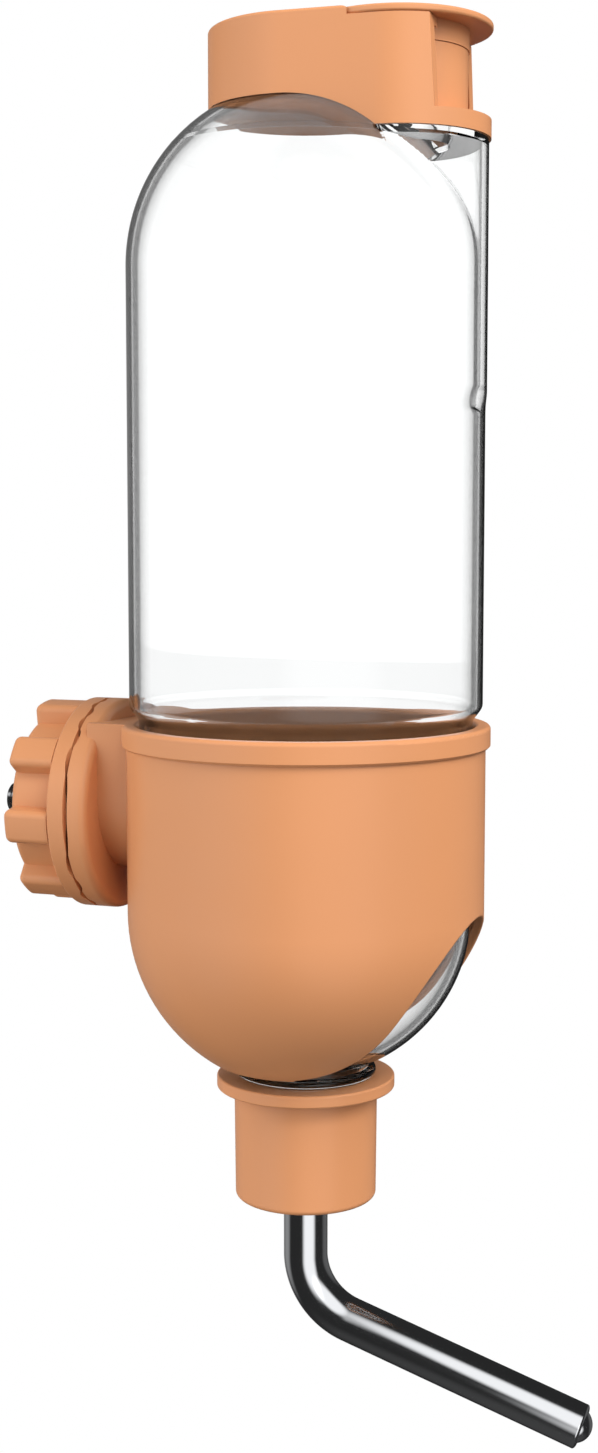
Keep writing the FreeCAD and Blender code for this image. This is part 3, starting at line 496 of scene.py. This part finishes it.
def material_named(name):
    """One of the finished materials, made with all the others when the first is asked for."""
    if "moulded_orange" not in bpy.data.materials:
        colours = bpy.context.scene.bottle_colours
        grain, lines = surface_grain(), drawn_lines()
        moulded_plastic(grain, colours.orange)
        clear_plastic(grain, colours.clear, colours.clear_painted_edge_shade)
        steel("polished_steel", lines, colours.polished, 0.02, 0.05, (900.0, 2600.0, 900.0), 0.000002)
        steel("plated_steel", lines, colours.plated, 0.16, 0.28, (200.0, 2400.0, 2400.0), 0.000006)
        soft_rubber(grain, colours.rubber)
    return bpy.data.materials[name]


# ---------------------------------------------------------------- geometry node trees


def geometry_tree(name, inputs):
    """A geometry node tree with named inputs, and its input and output nodes."""
    tree = bpy.data.node_groups.new(name, "GeometryNodeTree")
    tree.interface.new_socket("Geometry", in_out="INPUT", socket_type="NodeSocketGeometry")
    for label, kind in inputs:
        tree.interface.new_socket(label, in_out="INPUT", socket_type=kind)
    tree.interface.new_socket("Geometry", in_out="OUTPUT", socket_type="NodeSocketGeometry")
    return tree, tree.nodes.new("NodeGroupInput"), tree.nodes.new("NodeGroupOutput")


def wire(tree, source, node, socket):
    """Links an output socket to a node's input by name or index."""
    tree.links.new(source, node.inputs[socket])


def close_tree(tree, made, geometry, material_socket):
    """Ends a tree in Realize Instances and Set Material."""
    realize = tree.nodes.new("GeometryNodeRealizeInstances")
    paint = tree.nodes.new("GeometryNodeSetMaterial")
    wire(tree, geometry, realize, "Geometry")
    wire(tree, realize.outputs["Geometry"], paint, "Geometry")
    wire(tree, material_socket, paint, "Material")
    wire(tree, paint.outputs["Geometry"], made, "Geometry")


def thread_tree():
    """A thread: a three-sided ridge swept along a helix about Z and turned on to the piece's axis."""
    if "thread_ridge" in bpy.data.node_groups:
        return bpy.data.node_groups["thread_ridge"]
    tree, given, made = geometry_tree(
        "thread_ridge",
        (
            ("Radius", "NodeSocketFloat"),
            ("Pitch", "NodeSocketFloat"),
            ("Depth", "NodeSocketFloat"),
            ("Turns", "NodeSocketFloat"),
            ("Steps", "NodeSocketInt"),
            ("Start", "NodeSocketVector"),
            ("Tilt", "NodeSocketVector"),
            ("Material", "NodeSocketMaterial"),
        ),
    )
    helix = tree.nodes.new("GeometryNodeCurveSpiral")
    wire(tree, given.outputs["Steps"], helix, "Resolution")
    wire(tree, given.outputs["Turns"], helix, "Rotations")
    wire(tree, given.outputs["Radius"], helix, "Start Radius")
    wire(tree, given.outputs["Radius"], helix, "End Radius")
    rise = math_node(tree, "MULTIPLY", given.outputs["Turns"], given.outputs["Pitch"])
    wire(tree, rise, helix, "Height")
    upright = tree.nodes.new("GeometryNodeSetCurveNormal")
    upright.mode = "Z_UP"
    wire(tree, helix.outputs["Curve"], upright, "Curve")
    ridge = tree.nodes.new("GeometryNodeCurvePrimitiveCircle")
    ridge.inputs["Resolution"].default_value = 3
    wire(tree, given.outputs["Depth"], ridge, "Radius")
    sweep = tree.nodes.new("GeometryNodeCurveToMesh")
    wire(tree, upright.outputs["Curve"], sweep, "Curve")
    wire(tree, ridge.outputs["Curve"], sweep, "Profile Curve")
    sweep.inputs["Fill Caps"].default_value = True
    move = tree.nodes.new("GeometryNodeTransform")
    wire(tree, sweep.outputs["Mesh"], move, "Geometry")
    wire(tree, given.outputs["Start"], move, "Translation")
    wire(tree, given.outputs["Tilt"], move, "Rotation")
    join = tree.nodes.new("GeometryNodeJoinGeometry")
    wire(tree, given.outputs["Geometry"], join, "Geometry")
    wire(tree, move.outputs["Geometry"], join, "Geometry")
    close_tree(tree, made, join.outputs["Geometry"], given.outputs["Material"])
    return tree


def tube_tree():
    """A tube swept along a cornered path whose corners are rounded by a bend radius."""
    tree, given, made = geometry_tree(
        "bent_tube",
        (
            ("Bend Radius", "NodeSocketFloat"),
            ("Bend Steps", "NodeSocketInt"),
            ("Sides", "NodeSocketInt"),
            ("Material", "NodeSocketMaterial"),
        ),
    )
    bend = tree.nodes.new("GeometryNodeFilletCurve")
    bend.inputs["Limit Radius"].default_value = False
    bend.mode = "POLY"
    wire(tree, given.outputs["Geometry"], bend, "Curve")
    wire(tree, given.outputs["Bend Radius"], bend, "Radius")
    wire(tree, given.outputs["Bend Steps"], bend, "Count")
    section = tree.nodes.new("GeometryNodeCurvePrimitiveCircle")
    section.inputs["Radius"].default_value = 1.0
    wire(tree, given.outputs["Sides"], section, "Resolution")
    sweep = tree.nodes.new("GeometryNodeCurveToMesh")
    wire(tree, bend.outputs["Curve"], sweep, "Curve")
    wire(tree, section.outputs["Curve"], sweep, "Profile Curve")
    radius = tree.nodes.new("GeometryNodeInputRadius")
    wire(tree, radius.outputs["Radius"], sweep, "Scale")
    close_tree(tree, made, sweep.outputs["Mesh"], given.outputs["Material"])
    return tree


def apply_tree(piece, tree, **values):
    """Runs a geometry node tree on a piece with named values and keeps the result as a plain mesh."""
    change = piece.modifiers.new(tree.name, "NODES")
    change.node_group = tree
    sockets = {item.name: item.identifier for item in tree.interface.items_tree if item.in_out == "INPUT"}
    for label, value in values.items():
        change[sockets[label.replace("_", " ")]] = value
    return flatten_modifiers(piece)


# ---------------------------------------------------------------- clear bottle


def soft_max(first, second, width):
    """The larger of two numbers, with a soft change-over."""
    gap = max(width - abs(first - second), 0.0) / width
    return max(first, second) + gap * gap * width / 4


def outlet_profile(sizes, inset):
    """Radius and level of the outlet neck's wall, up to the groove over the cap's bead."""
    low, collar_foot = BOTTLE_LOW.z, CAP_HIGH.z + 0.1 * MM
    if inset:
        return [(sizes.outlet_bore, low - MM), (sizes.outlet_bore, collar_foot)]
    edge, bead, groove, groove_rise = 0.3 * MM, 0.8 * MM, 1.2 * MM, 1.9 * MM
    outer, collar, bead_steps = sizes.outlet_radius, sizes.collar_radius, 8
    profile = [(outer - edge, low), (outer, low + edge), (outer, collar_foot)]
    for step in range(bead_steps + 1):
        turn = math.pi * (step / bead_steps - 0.5)
        profile.append((collar - bead + bead * math.cos(turn), collar_foot + bead + bead * math.sin(turn)))
    profile.append((collar - groove, collar_foot + groove_rise))
    return profile


def wall_profile(sizes, inset):
    """Radius and level of the wall, drawn in by an inset: up to the spout's flat top, and above it."""
    foot, body = sizes.foot_radius - inset, sizes.radius - inset
    dome_steps, shoulder_steps, ease_steps, straight_steps, crown_steps = 36, 12, 16, 10, 12
    profile = outlet_profile(sizes, inset)
    start = math.asin(profile[-1][0] / foot)
    for step in range(dome_steps + 1):
        turn = start + (math.pi / 2 - start) * step / dome_steps
        profile.append((foot * math.sin(turn), sizes.lower_dome - foot * math.cos(turn)))
    low, rise = sizes.shoulder, sizes.shoulder_rise
    profile.append((foot, (sizes.lower_dome + low) / 2))
    for step in range(shoulder_steps + 1):
        share = step / shoulder_steps
        eased = (1 - math.cos(math.pi * share)) / 2
        profile.append((foot + (body - foot) * eased, low + rise * share))
    ease_low = sizes.spout_foot + inset - sizes.spout_ease
    for share in (0.25, 0.5, 0.75):
        profile.append((body, low + rise + (ease_low - low - rise) * share))
    for step in range(ease_steps + 1):
        profile.append((body, ease_low + sizes.spout_ease * step / ease_steps))
    straight_low = sizes.spout_foot + inset + MM
    for step in range(straight_steps):
        profile.append((body, straight_low + (sizes.upper_dome - straight_low) * step / straight_steps))
    spout_top = sizes.spout_top - inset
    top_turn = math.asin((spout_top - sizes.upper_dome) / body)
    for step in range(dome_steps + 1):
        turn = top_turn * step / dome_steps
        profile.append((body * math.cos(turn), sizes.upper_dome + body * math.sin(turn)))
    crown = []
    for step in range(1, crown_steps + 1):
        turn = top_turn + (math.pi / 2 - top_turn) * step / (crown_steps + 0.5)
        crown.append((body * math.cos(turn), sizes.upper_dome + body * math.sin(turn)))
    return profile, crown


def spout_reach(sizes, inset, turn):
    """How far the spout's wall stands from the bottle's axis in a direction, or 0 where it doesn't."""
    offset, radius = SPOUT_X - AXIS_X, sizes.spout_radius - inset
    across = offset * math.sin(turn)
    if abs(across) >= radius or math.cos(turn) <= 0:
        return 0.0
    return offset * math.cos(turn) + math.sqrt(radius * radius - across * across)


def bottle_skin(name, sizes, inset):
    """The bottle's closed outside, or with an inset the closed form of its hollow."""
    profile, crown = wall_profile(sizes, inset)
    count = sizes.segments
    ease_low = sizes.spout_foot + inset - sizes.spout_ease
    rings = []

    def swollen(radius, turn):
        """The wall's radius with the spout blended in."""
        return soft_max(radius, spout_reach(sizes, inset, turn), sizes.crease)

    def eased(radius, rise):
        """The wall's radius as a function of the direction, where the spout has risen by a share."""
        return lambda turn: radius + (swollen(radius, turn) - radius) * rise

    for radius, level in profile:
        rise = min(max((level - ease_low) / sizes.spout_ease, 0.0), 1.0)
        rise = rise * rise * (3 - 2 * rise)
        rings.append(level_ring(eased(radius, rise), level, AXIS_X, count))
    top_radius, top_level = profile[-1]
    edge, flat_level, crown_level = 0.4 * MM, top_level + 0.02 * MM, top_level + 0.03 * MM

    def lip(turn):
        """The spout's wall where it turns in to its flat top."""
        return max(top_radius, swollen(top_radius, turn) - edge)

    rings.append(level_ring(lip, flat_level, AXIS_X, count))
    rings.append(circle(top_radius, flat_level, AXIS_X, count))
    for radius, level in crown:
        rings.append(circle(radius, max(level, crown_level), AXIS_X, count))
    return new_object(name, skin(name, rings))


def upright_rod(name, radius, low, high, x):
    """A closed upright rod."""
    sides = 96
    return new_object(name, skin(name, [circle(radius, level, x, sides) for level in (low, high)]))


def build_bottle():
    """The clear bottle: outside less hollow, with both necks and the outlet's thread."""
    scene = bpy.context.scene
    sizes, threads = scene.bottle_sizes, scene.thread_sizes
    outside = bottle_skin("bottle_shell", sizes, 0.0)
    hollow = bottle_skin("hollow", sizes, sizes.wall)
    neck_top, under = BOTTLE_HIGH.z, sizes.upper_dome + 10 * MM
    combine(outside, upright_rod("neck", sizes.neck_radius, under, neck_top, SPOUT_X), "UNION")
    bore = upright_rod("bore", sizes.neck_radius - sizes.wall, under, neck_top + MM, SPOUT_X)
    combine(hollow, bore, "UNION")
    combine(outside, hollow, "DIFFERENCE")
    thread_low = BOTTLE_LOW.z + 3.0 * MM
    apply_tree(
        outside,
        thread_tree(),
        Radius=sizes.outlet_radius,
        Pitch=threads.neck_pitch,
        Depth=threads.neck_depth,
        Turns=3.5,
        Steps=96,
        Start=(AXIS_X, 0.0, thread_low),
        Tilt=(0.0, 0.0, 0.0),
        Material=material_named("clear_bottle"),
    )
    with edited(outside.data) as shape:
        bmesh.ops.remove_doubles(shape, verts=shape.verts, dist=WELD)
    smooth(outside, 28)
    finish(outside, "clear_bottle", "bottle", "clear_plastic", "bottle_body")


# ---------------------------------------------------------------- steel parts


def roll_in(shape, end, forward, depth, radius, mouth):
    """Carries an open tube's end ring round a quarter turn, from its radius to a smaller mouth."""
    steps = 6
    near = {vert for vert in shape.verts if vert.is_boundary and (vert.co - end).length < 2 * radius}
    edges = [edge for edge in shape.edges if edge.is_boundary and near.issuperset(edge.verts)]
    centre, size = end, radius
    for step in range(1, steps + 1):
        turn = math.pi / 2 * step / steps
        next_centre = end + forward * depth * math.sin(turn)
        next_size = radius - (radius - mouth) * (1 - math.cos(turn))
        made = bmesh.ops.extrude_edge_only(shape, edges=edges)["geom"]
        edges = [item for item in made if isinstance(item, bmesh.types.BMEdge) and item.is_boundary]
        for vert in (item for item in made if isinstance(item, bmesh.types.BMVert)):
            vert.co = next_centre + (vert.co - centre) * next_size / size
        centre, size = next_centre, next_size


def build_nozzle():
    """The bent steel tube, rolled in at its tip."""
    sizes = bpy.context.scene.nozzle_sizes
    slope = Vector((math.cos(sizes.slope), 0.0, -math.sin(sizes.slope)))
    corner = Vector((AXIS_X, 0.0, sizes.bend_level))
    roll = 0.55 * MM
    end = corner + slope * (sizes.reach / math.cos(sizes.slope) - roll)
    path = bpy.data.curves.new("drinking_tube", "CURVE")
    path.dimensions = "3D"
    line = path.splines.new("POLY")
    places = (Vector((AXIS_X, 0.0, TUBE_HIGH.z)), corner, end)
    line.points.add(len(places) - 1)
    for point, place in zip(line.points, places):
        point.co = (*place, 1.0)
        point.radius = sizes.radius
    tube = apply_tree(
        new_object("drinking_tube", path),
        tube_tree(),
        Bend_Radius=sizes.bend_radius,
        Bend_Steps=40,
        Sides=96,
        Material=material_named("polished_steel"),
    )
    with edited(tube.data) as shape:
        bmesh.ops.remove_doubles(shape, verts=shape.verts, dist=WELD)
        roll_in(shape, end, slope, roll, sizes.radius, sizes.mouth_radius)
        bmesh.ops.recalc_face_normals(shape, faces=shape.faces)
    wall = tube.modifiers.new("wall", "SOLIDIFY")
    wall.thickness, wall.offset = sizes.wall, -1.0
    flatten_modifiers(tube)
    smooth(tube, 50)
    finish(tube, "polished_steel", "nozzle", "polished_steel", "nozzle_tube")


def build_bolt():
    """The clamp bolt: a rod with chamfered end, hex head and a real thread."""
    threads = bpy.context.scene.thread_sizes
    radius, chamfer, flats, side_count = 3.0 * MM, 0.36 * MM, 10.0 * MM, 48
    core, shank = radius - threads.bolt_depth * 0.9, radius - 0.02 * MM
    tip, end = BOLT_LOW.x, BOLT_HIGH.x
    seat = end - 4.0 * MM
    thread_end, shank_end = seat - 3.0 * MM, seat - 2.6 * MM
    profile = (
        (tip, core - chamfer),
        (tip + chamfer, core),
        (thread_end, core),
        (shank_end, shank),
        (seat, shank),
    )
    rings = [
        [Vector((x, point.x, point.y)) for point in circle(size, 0.0, 0.0, side_count)]
        for x, size in profile
    ]
    rod = new_object("clamp_bolt_threaded", skin("clamp_bolt_threaded", rings))
    corner, soft = flats / math.sqrt(3), 0.93
    head_rings = []
    for x, size in ((seat, soft), (seat + 0.3 * MM, 1.0), (end - 0.5 * MM, 1.0), (end, soft)):
        turns = (math.pi / 3 * i for i in range(6))
        head_rings.append(
            [Vector((x, corner * math.sin(turn) * size, -corner * math.cos(turn) * size)) for turn in turns]
        )
    head = skin("head", head_rings)
    with edited(rod.data) as shape:
        shape.from_mesh(head)
        bmesh.ops.recalc_face_normals(shape, faces=shape.faces)
    bpy.data.meshes.remove(head)
    apply_tree(
        rod,
        thread_tree(),
        Radius=core + threads.bolt_depth * 0.15,
        Pitch=threads.bolt_pitch,
        Depth=threads.bolt_depth * 0.78,
        Turns=(thread_end - tip - 0.5 * MM) / threads.bolt_pitch,
        Steps=30,
        Start=(tip + 0.4 * MM, 0.0, 0.0),
        Tilt=(0.0, math.pi / 2, 0.0),
        Material=material_named("plated_steel"),
    )
    smooth(rod, 35)
    finish(rod, "plated_steel", "holder", "plain_steel", "clamp_bolt")


# ---------------------------------------------------------------- studio


def direction_to(turn, lift):
    """A direction by its turn from the front and its lift above level."""
    return Vector((math.sin(turn) * math.cos(lift), -math.cos(turn) * math.cos(lift), math.sin(lift)))


def studio_world(settings):
    """A white room for the eye and through the bottle, with soft boxes for gloss and for shading."""
    world = bpy.data.worlds.new("studio")
    bpy.context.scene.world = world
    world.use_nodes = True
    world.cycles.sampling_method = "NONE"
    tree = world.node_tree
    background = tree.nodes["Background"]
    background.inputs["Color"].default_value = (1.0, 1.0, 1.0, 1.0)
    direction = tree.nodes.new("ShaderNodeTexCoord").outputs["Generated"]

    def towards(azimuth, elevation):
        """How well a direction agrees with an azimuth from the camera's side and an elevation."""
        turn, lift = settings.camera_azimuth + math.radians(azimuth), math.radians(elevation)
        node = tree.nodes.new("ShaderNodeVectorMath")
        node.operation = "DOT_PRODUCT"
        tree.links.new(direction, node.inputs[0])
        node.inputs[1].default_value = direction_to(turn, lift)
        return node.outputs["Value"]

    def patch(azimuth, elevation, reach, softness, strength):
        """A round soft box: reach and softness in degrees."""
        node = tree.nodes.new("ShaderNodeMapRange")
        node.interpolation_type = "SMOOTHSTEP"
        node.inputs["From Min"].default_value = math.cos(math.radians(reach + softness))
        node.inputs["From Max"].default_value = math.cos(math.radians(max(reach - softness, 0)))
        node.inputs["To Max"].default_value = strength
        tree.links.new(towards(azimuth, elevation), node.inputs["Value"])
        return node.outputs["Result"]

    def total(base, first, *others):
        """The sum of soft boxes and an even base."""
        for value in (*others, base):
            first = math_node(tree, "ADD", first, value)
        return first

    gloss_base, fill_base, through_glass = 0.026, 0.12, 0.12
    gloss = total(
        gloss_base,
        patch(17, 32, 29, 9, 1.15),
        patch(17, -14, 27, 10, 1.15),
        patch(-118, -12, 20, 12, 0.27),
        patch(126, -12, 20, 14, 0.10),
        patch(-40, 25, 14, 6, 0.9),
        patch(-163, 20, 20, 8, 0.2),
        patch(-163, -14, 18, 8, 0.2),
        patch(10, -75, 38, 16, 0.035),
    )
    fill = total(
        fill_base,
        patch(50, 30, 30, 25, 1.75),
        patch(-70, 5, 35, 25, 2.08),
        patch(175, 25, 48, 30, 0.9),
    )
    path = tree.nodes.new("ShaderNodeLightPath")
    seen = math_node(tree, "MAXIMUM", path.outputs["Is Camera Ray"], path.outputs["Is Transmission Ray"])
    soft = math_node(tree, "MULTIPLY", fill, path.outputs["Is Diffuse Ray"])
    sharp = math_node(tree, "MULTIPLY", gloss, path.outputs["Is Glossy Ray"])
    unseen = math_node(tree, "SUBTRACT", 1.0, seen)
    light = math_node(tree, "MULTIPLY", math_node(tree, "ADD", soft, sharp), unseen)
    through = math_node(tree, "MULTIPLY", path.outputs["Is Transmission Ray"], through_glass)
    light = math_node(tree, "ADD", light, through)
    tree.links.new(math_node(tree, "ADD", light, seen), background.inputs["Strength"])


def studio_floor(level):
    """A plain pale floor that is seen from above and left out of gloss and shading."""
    mesh = bpy.data.meshes.new("floor")
    half = 3.0
    corners = [(-half, -half, level), (half, -half, level), (half, half, level), (-half, half, level)]
    mesh.from_pydata(corners, [], [(0, 1, 2, 3)])
    floor = new_object("floor", mesh)
    floor.visible_glossy = floor.visible_diffuse = floor.visible_shadow = False
    material = bpy.data.materials.new("pale_floor")
    material.use_nodes = True
    tree = material.node_tree
    shader = tree.nodes["Principled BSDF"]
    shader.inputs["Base Color"].default_value = (0.0, 0.0, 0.0, 1.0)
    shader.inputs["Specular IOR Level"].default_value = 0.0
    shader.inputs["Emission Color"].default_value = (1.0, 1.0, 1.0, 1.0)
    shader.inputs["Emission Strength"].default_value = 1.0
    side = tree.nodes.new("ShaderNodeNewGeometry").outputs["Backfacing"]
    clear = tree.nodes.new("ShaderNodeBsdfTransparent")
    choice = tree.nodes.new("ShaderNodeMixShader")
    tree.links.new(side, choice.inputs["Fac"])
    tree.links.new(shader.outputs["BSDF"], choice.inputs[1])
    tree.links.new(clear.outputs["BSDF"], choice.inputs[2])
    tree.links.new(choice.outputs["Shader"], tree.nodes["Material Output"].inputs["Surface"])
    mesh.materials.append(material)


def studio_light(name, azimuth, elevation, power):
    """A square soft light aimed at the middle of the object."""
    distance, size = 0.9, 0.4
    lamp = bpy.data.lights.new(name, "AREA")
    lamp.size, lamp.energy = size, power
    light = new_object(name, lamp)
    away = direction_to(math.radians(azimuth), math.radians(elevation))
    light.location = (frame_bounds[0] + frame_bounds[1]) / 2 + away * distance
    light.rotation_euler = away.to_track_quat("Z", "Y").to_euler()
    light.visible_glossy = light.visible_transmission = light.visible_camera = False


def build_studio():
    """Camera, room, floor and lights."""
    scene = bpy.context.scene
    settings = scene.studio_settings
    lens = bpy.data.cameras.new("camera")
    lens.lens, lens.sensor_width, lens.clip_start = settings.lens, 36.0, 0.01
    camera = new_object("camera", lens)
    camera.location = settings.camera_place
    camera.rotation_euler = (math.pi / 2 - settings.camera_tilt, 0.0, settings.camera_azimuth)
    scene.camera = camera
    scene.view_settings.view_transform = "Standard"
    studio_world(settings)
    studio_floor(settings.floor_level)
    studio_light("side_light", 75, 35, 2.98)
    studio_light("key_light", 45, 50, 3.09)


# ---------------------------------------------------------------- operators and panel


class BOTTLE_OT_clear_bottle(bpy.types.Operator):
    """Build the clear bottle"""

    bl_idname = "cage_bottle.clear_bottle"
    bl_label = "Clear Bottle"

    def execute(self, context):
        build_bottle()
        return {"FINISHED"}


class BOTTLE_OT_drinking_tube(bpy.types.Operator):
    """Build the bent steel tube"""

    bl_idname = "cage_bottle.drinking_tube"
    bl_label = "Drinking Tube"

    def execute(self, context):
        build_nozzle()
        return {"FINISHED"}


class BOTTLE_OT_clamp_bolt(bpy.types.Operator):
    """Build the threaded clamp bolt"""

    bl_idname = "cage_bottle.clamp_bolt"
    bl_label = "Clamp Bolt"

    def execute(self, context):
        build_bolt()
        return {"FINISHED"}


class BOTTLE_OT_moulded_parts(bpy.types.Operator):
    """Finish the moulded parts: cup, clamp plate, knob, filler housing, lid and screw cap"""

    bl_idname = "cage_bottle.moulded_parts"
    bl_label = "Moulded Parts"

    def execute(self, context):
        carry_over("moulded_orange", ORANGE_NODES)
        return {"FINISHED"}


class BOTTLE_OT_small_parts(bpy.types.Operator):
    """Finish the balls, washer, nut, pin, collar and seals"""

    bl_idname = "cage_bottle.small_parts"
    bl_label = "Small Parts"

    def execute(self, context):
        carry_over("polished_steel", POLISHED_NODES)
        carry_over("plated_steel", STEEL_NODES)
        carry_over("soft_rubber", RUBBER_NODES)
        return {"FINISHED"}


class BOTTLE_OT_studio(bpy.types.Operator):
    """Set up the camera, the room, the floor and the lights"""

    bl_idname = "cage_bottle.studio"
    bl_label = "Studio"

    def execute(self, context):
        build_studio()
        return {"FINISHED"}


OPERATORS = (
    BOTTLE_OT_studio,
    BOTTLE_OT_clear_bottle,
    BOTTLE_OT_drinking_tube,
    BOTTLE_OT_clamp_bolt,
    BOTTLE_OT_moulded_parts,
    BOTTLE_OT_small_parts,
)


class BOTTLE_PT_panel(bpy.types.Panel):
    """Sizes, colours and building steps of the cage bottle"""

    bl_idname = "BOTTLE_PT_panel"
    bl_label = "Cage Bottle"
    bl_space_type = "VIEW_3D"
    bl_region_type = "UI"
    bl_category = "Bottle"

    def draw(self, context):
        for operator in OPERATORS:
            self.layout.operator(operator.bl_idname)
        for name, group in SETTINGS:
            box = self.layout.box()
            for label in group.__annotations__:
                box.prop(getattr(context.scene, name), label)


SETTINGS = (
    ("bottle_sizes", BottleSizes),
    ("nozzle_sizes", NozzleSizes),
    ("thread_sizes", ThreadSizes),
    ("bottle_colours", BottleColours),
    ("studio_settings", StudioSettings),
)
CLASSES = (*(group for _, group in SETTINGS), *OPERATORS, BOTTLE_PT_panel)


def register():
    """Adds the settings, the operators and the panel."""
    for item in CLASSES:
        bpy.utils.register_class(item)
    for name, group in SETTINGS:
        setattr(bpy.types.Scene, name, PointerProperty(type=group))


def unregister():
    """Takes away what register() added."""
    for name, _ in SETTINGS:
        delattr(bpy.types.Scene, name)
    for item in reversed(CLASSES):
        bpy.utils.unregister_class(item)


def main():
    """Runs every building step."""
    register()
    for operator in OPERATORS:
        getattr(bpy.ops.cage_bottle, operator.bl_idname.split(".")[1])()


if __name__ == "__main__":
    main()
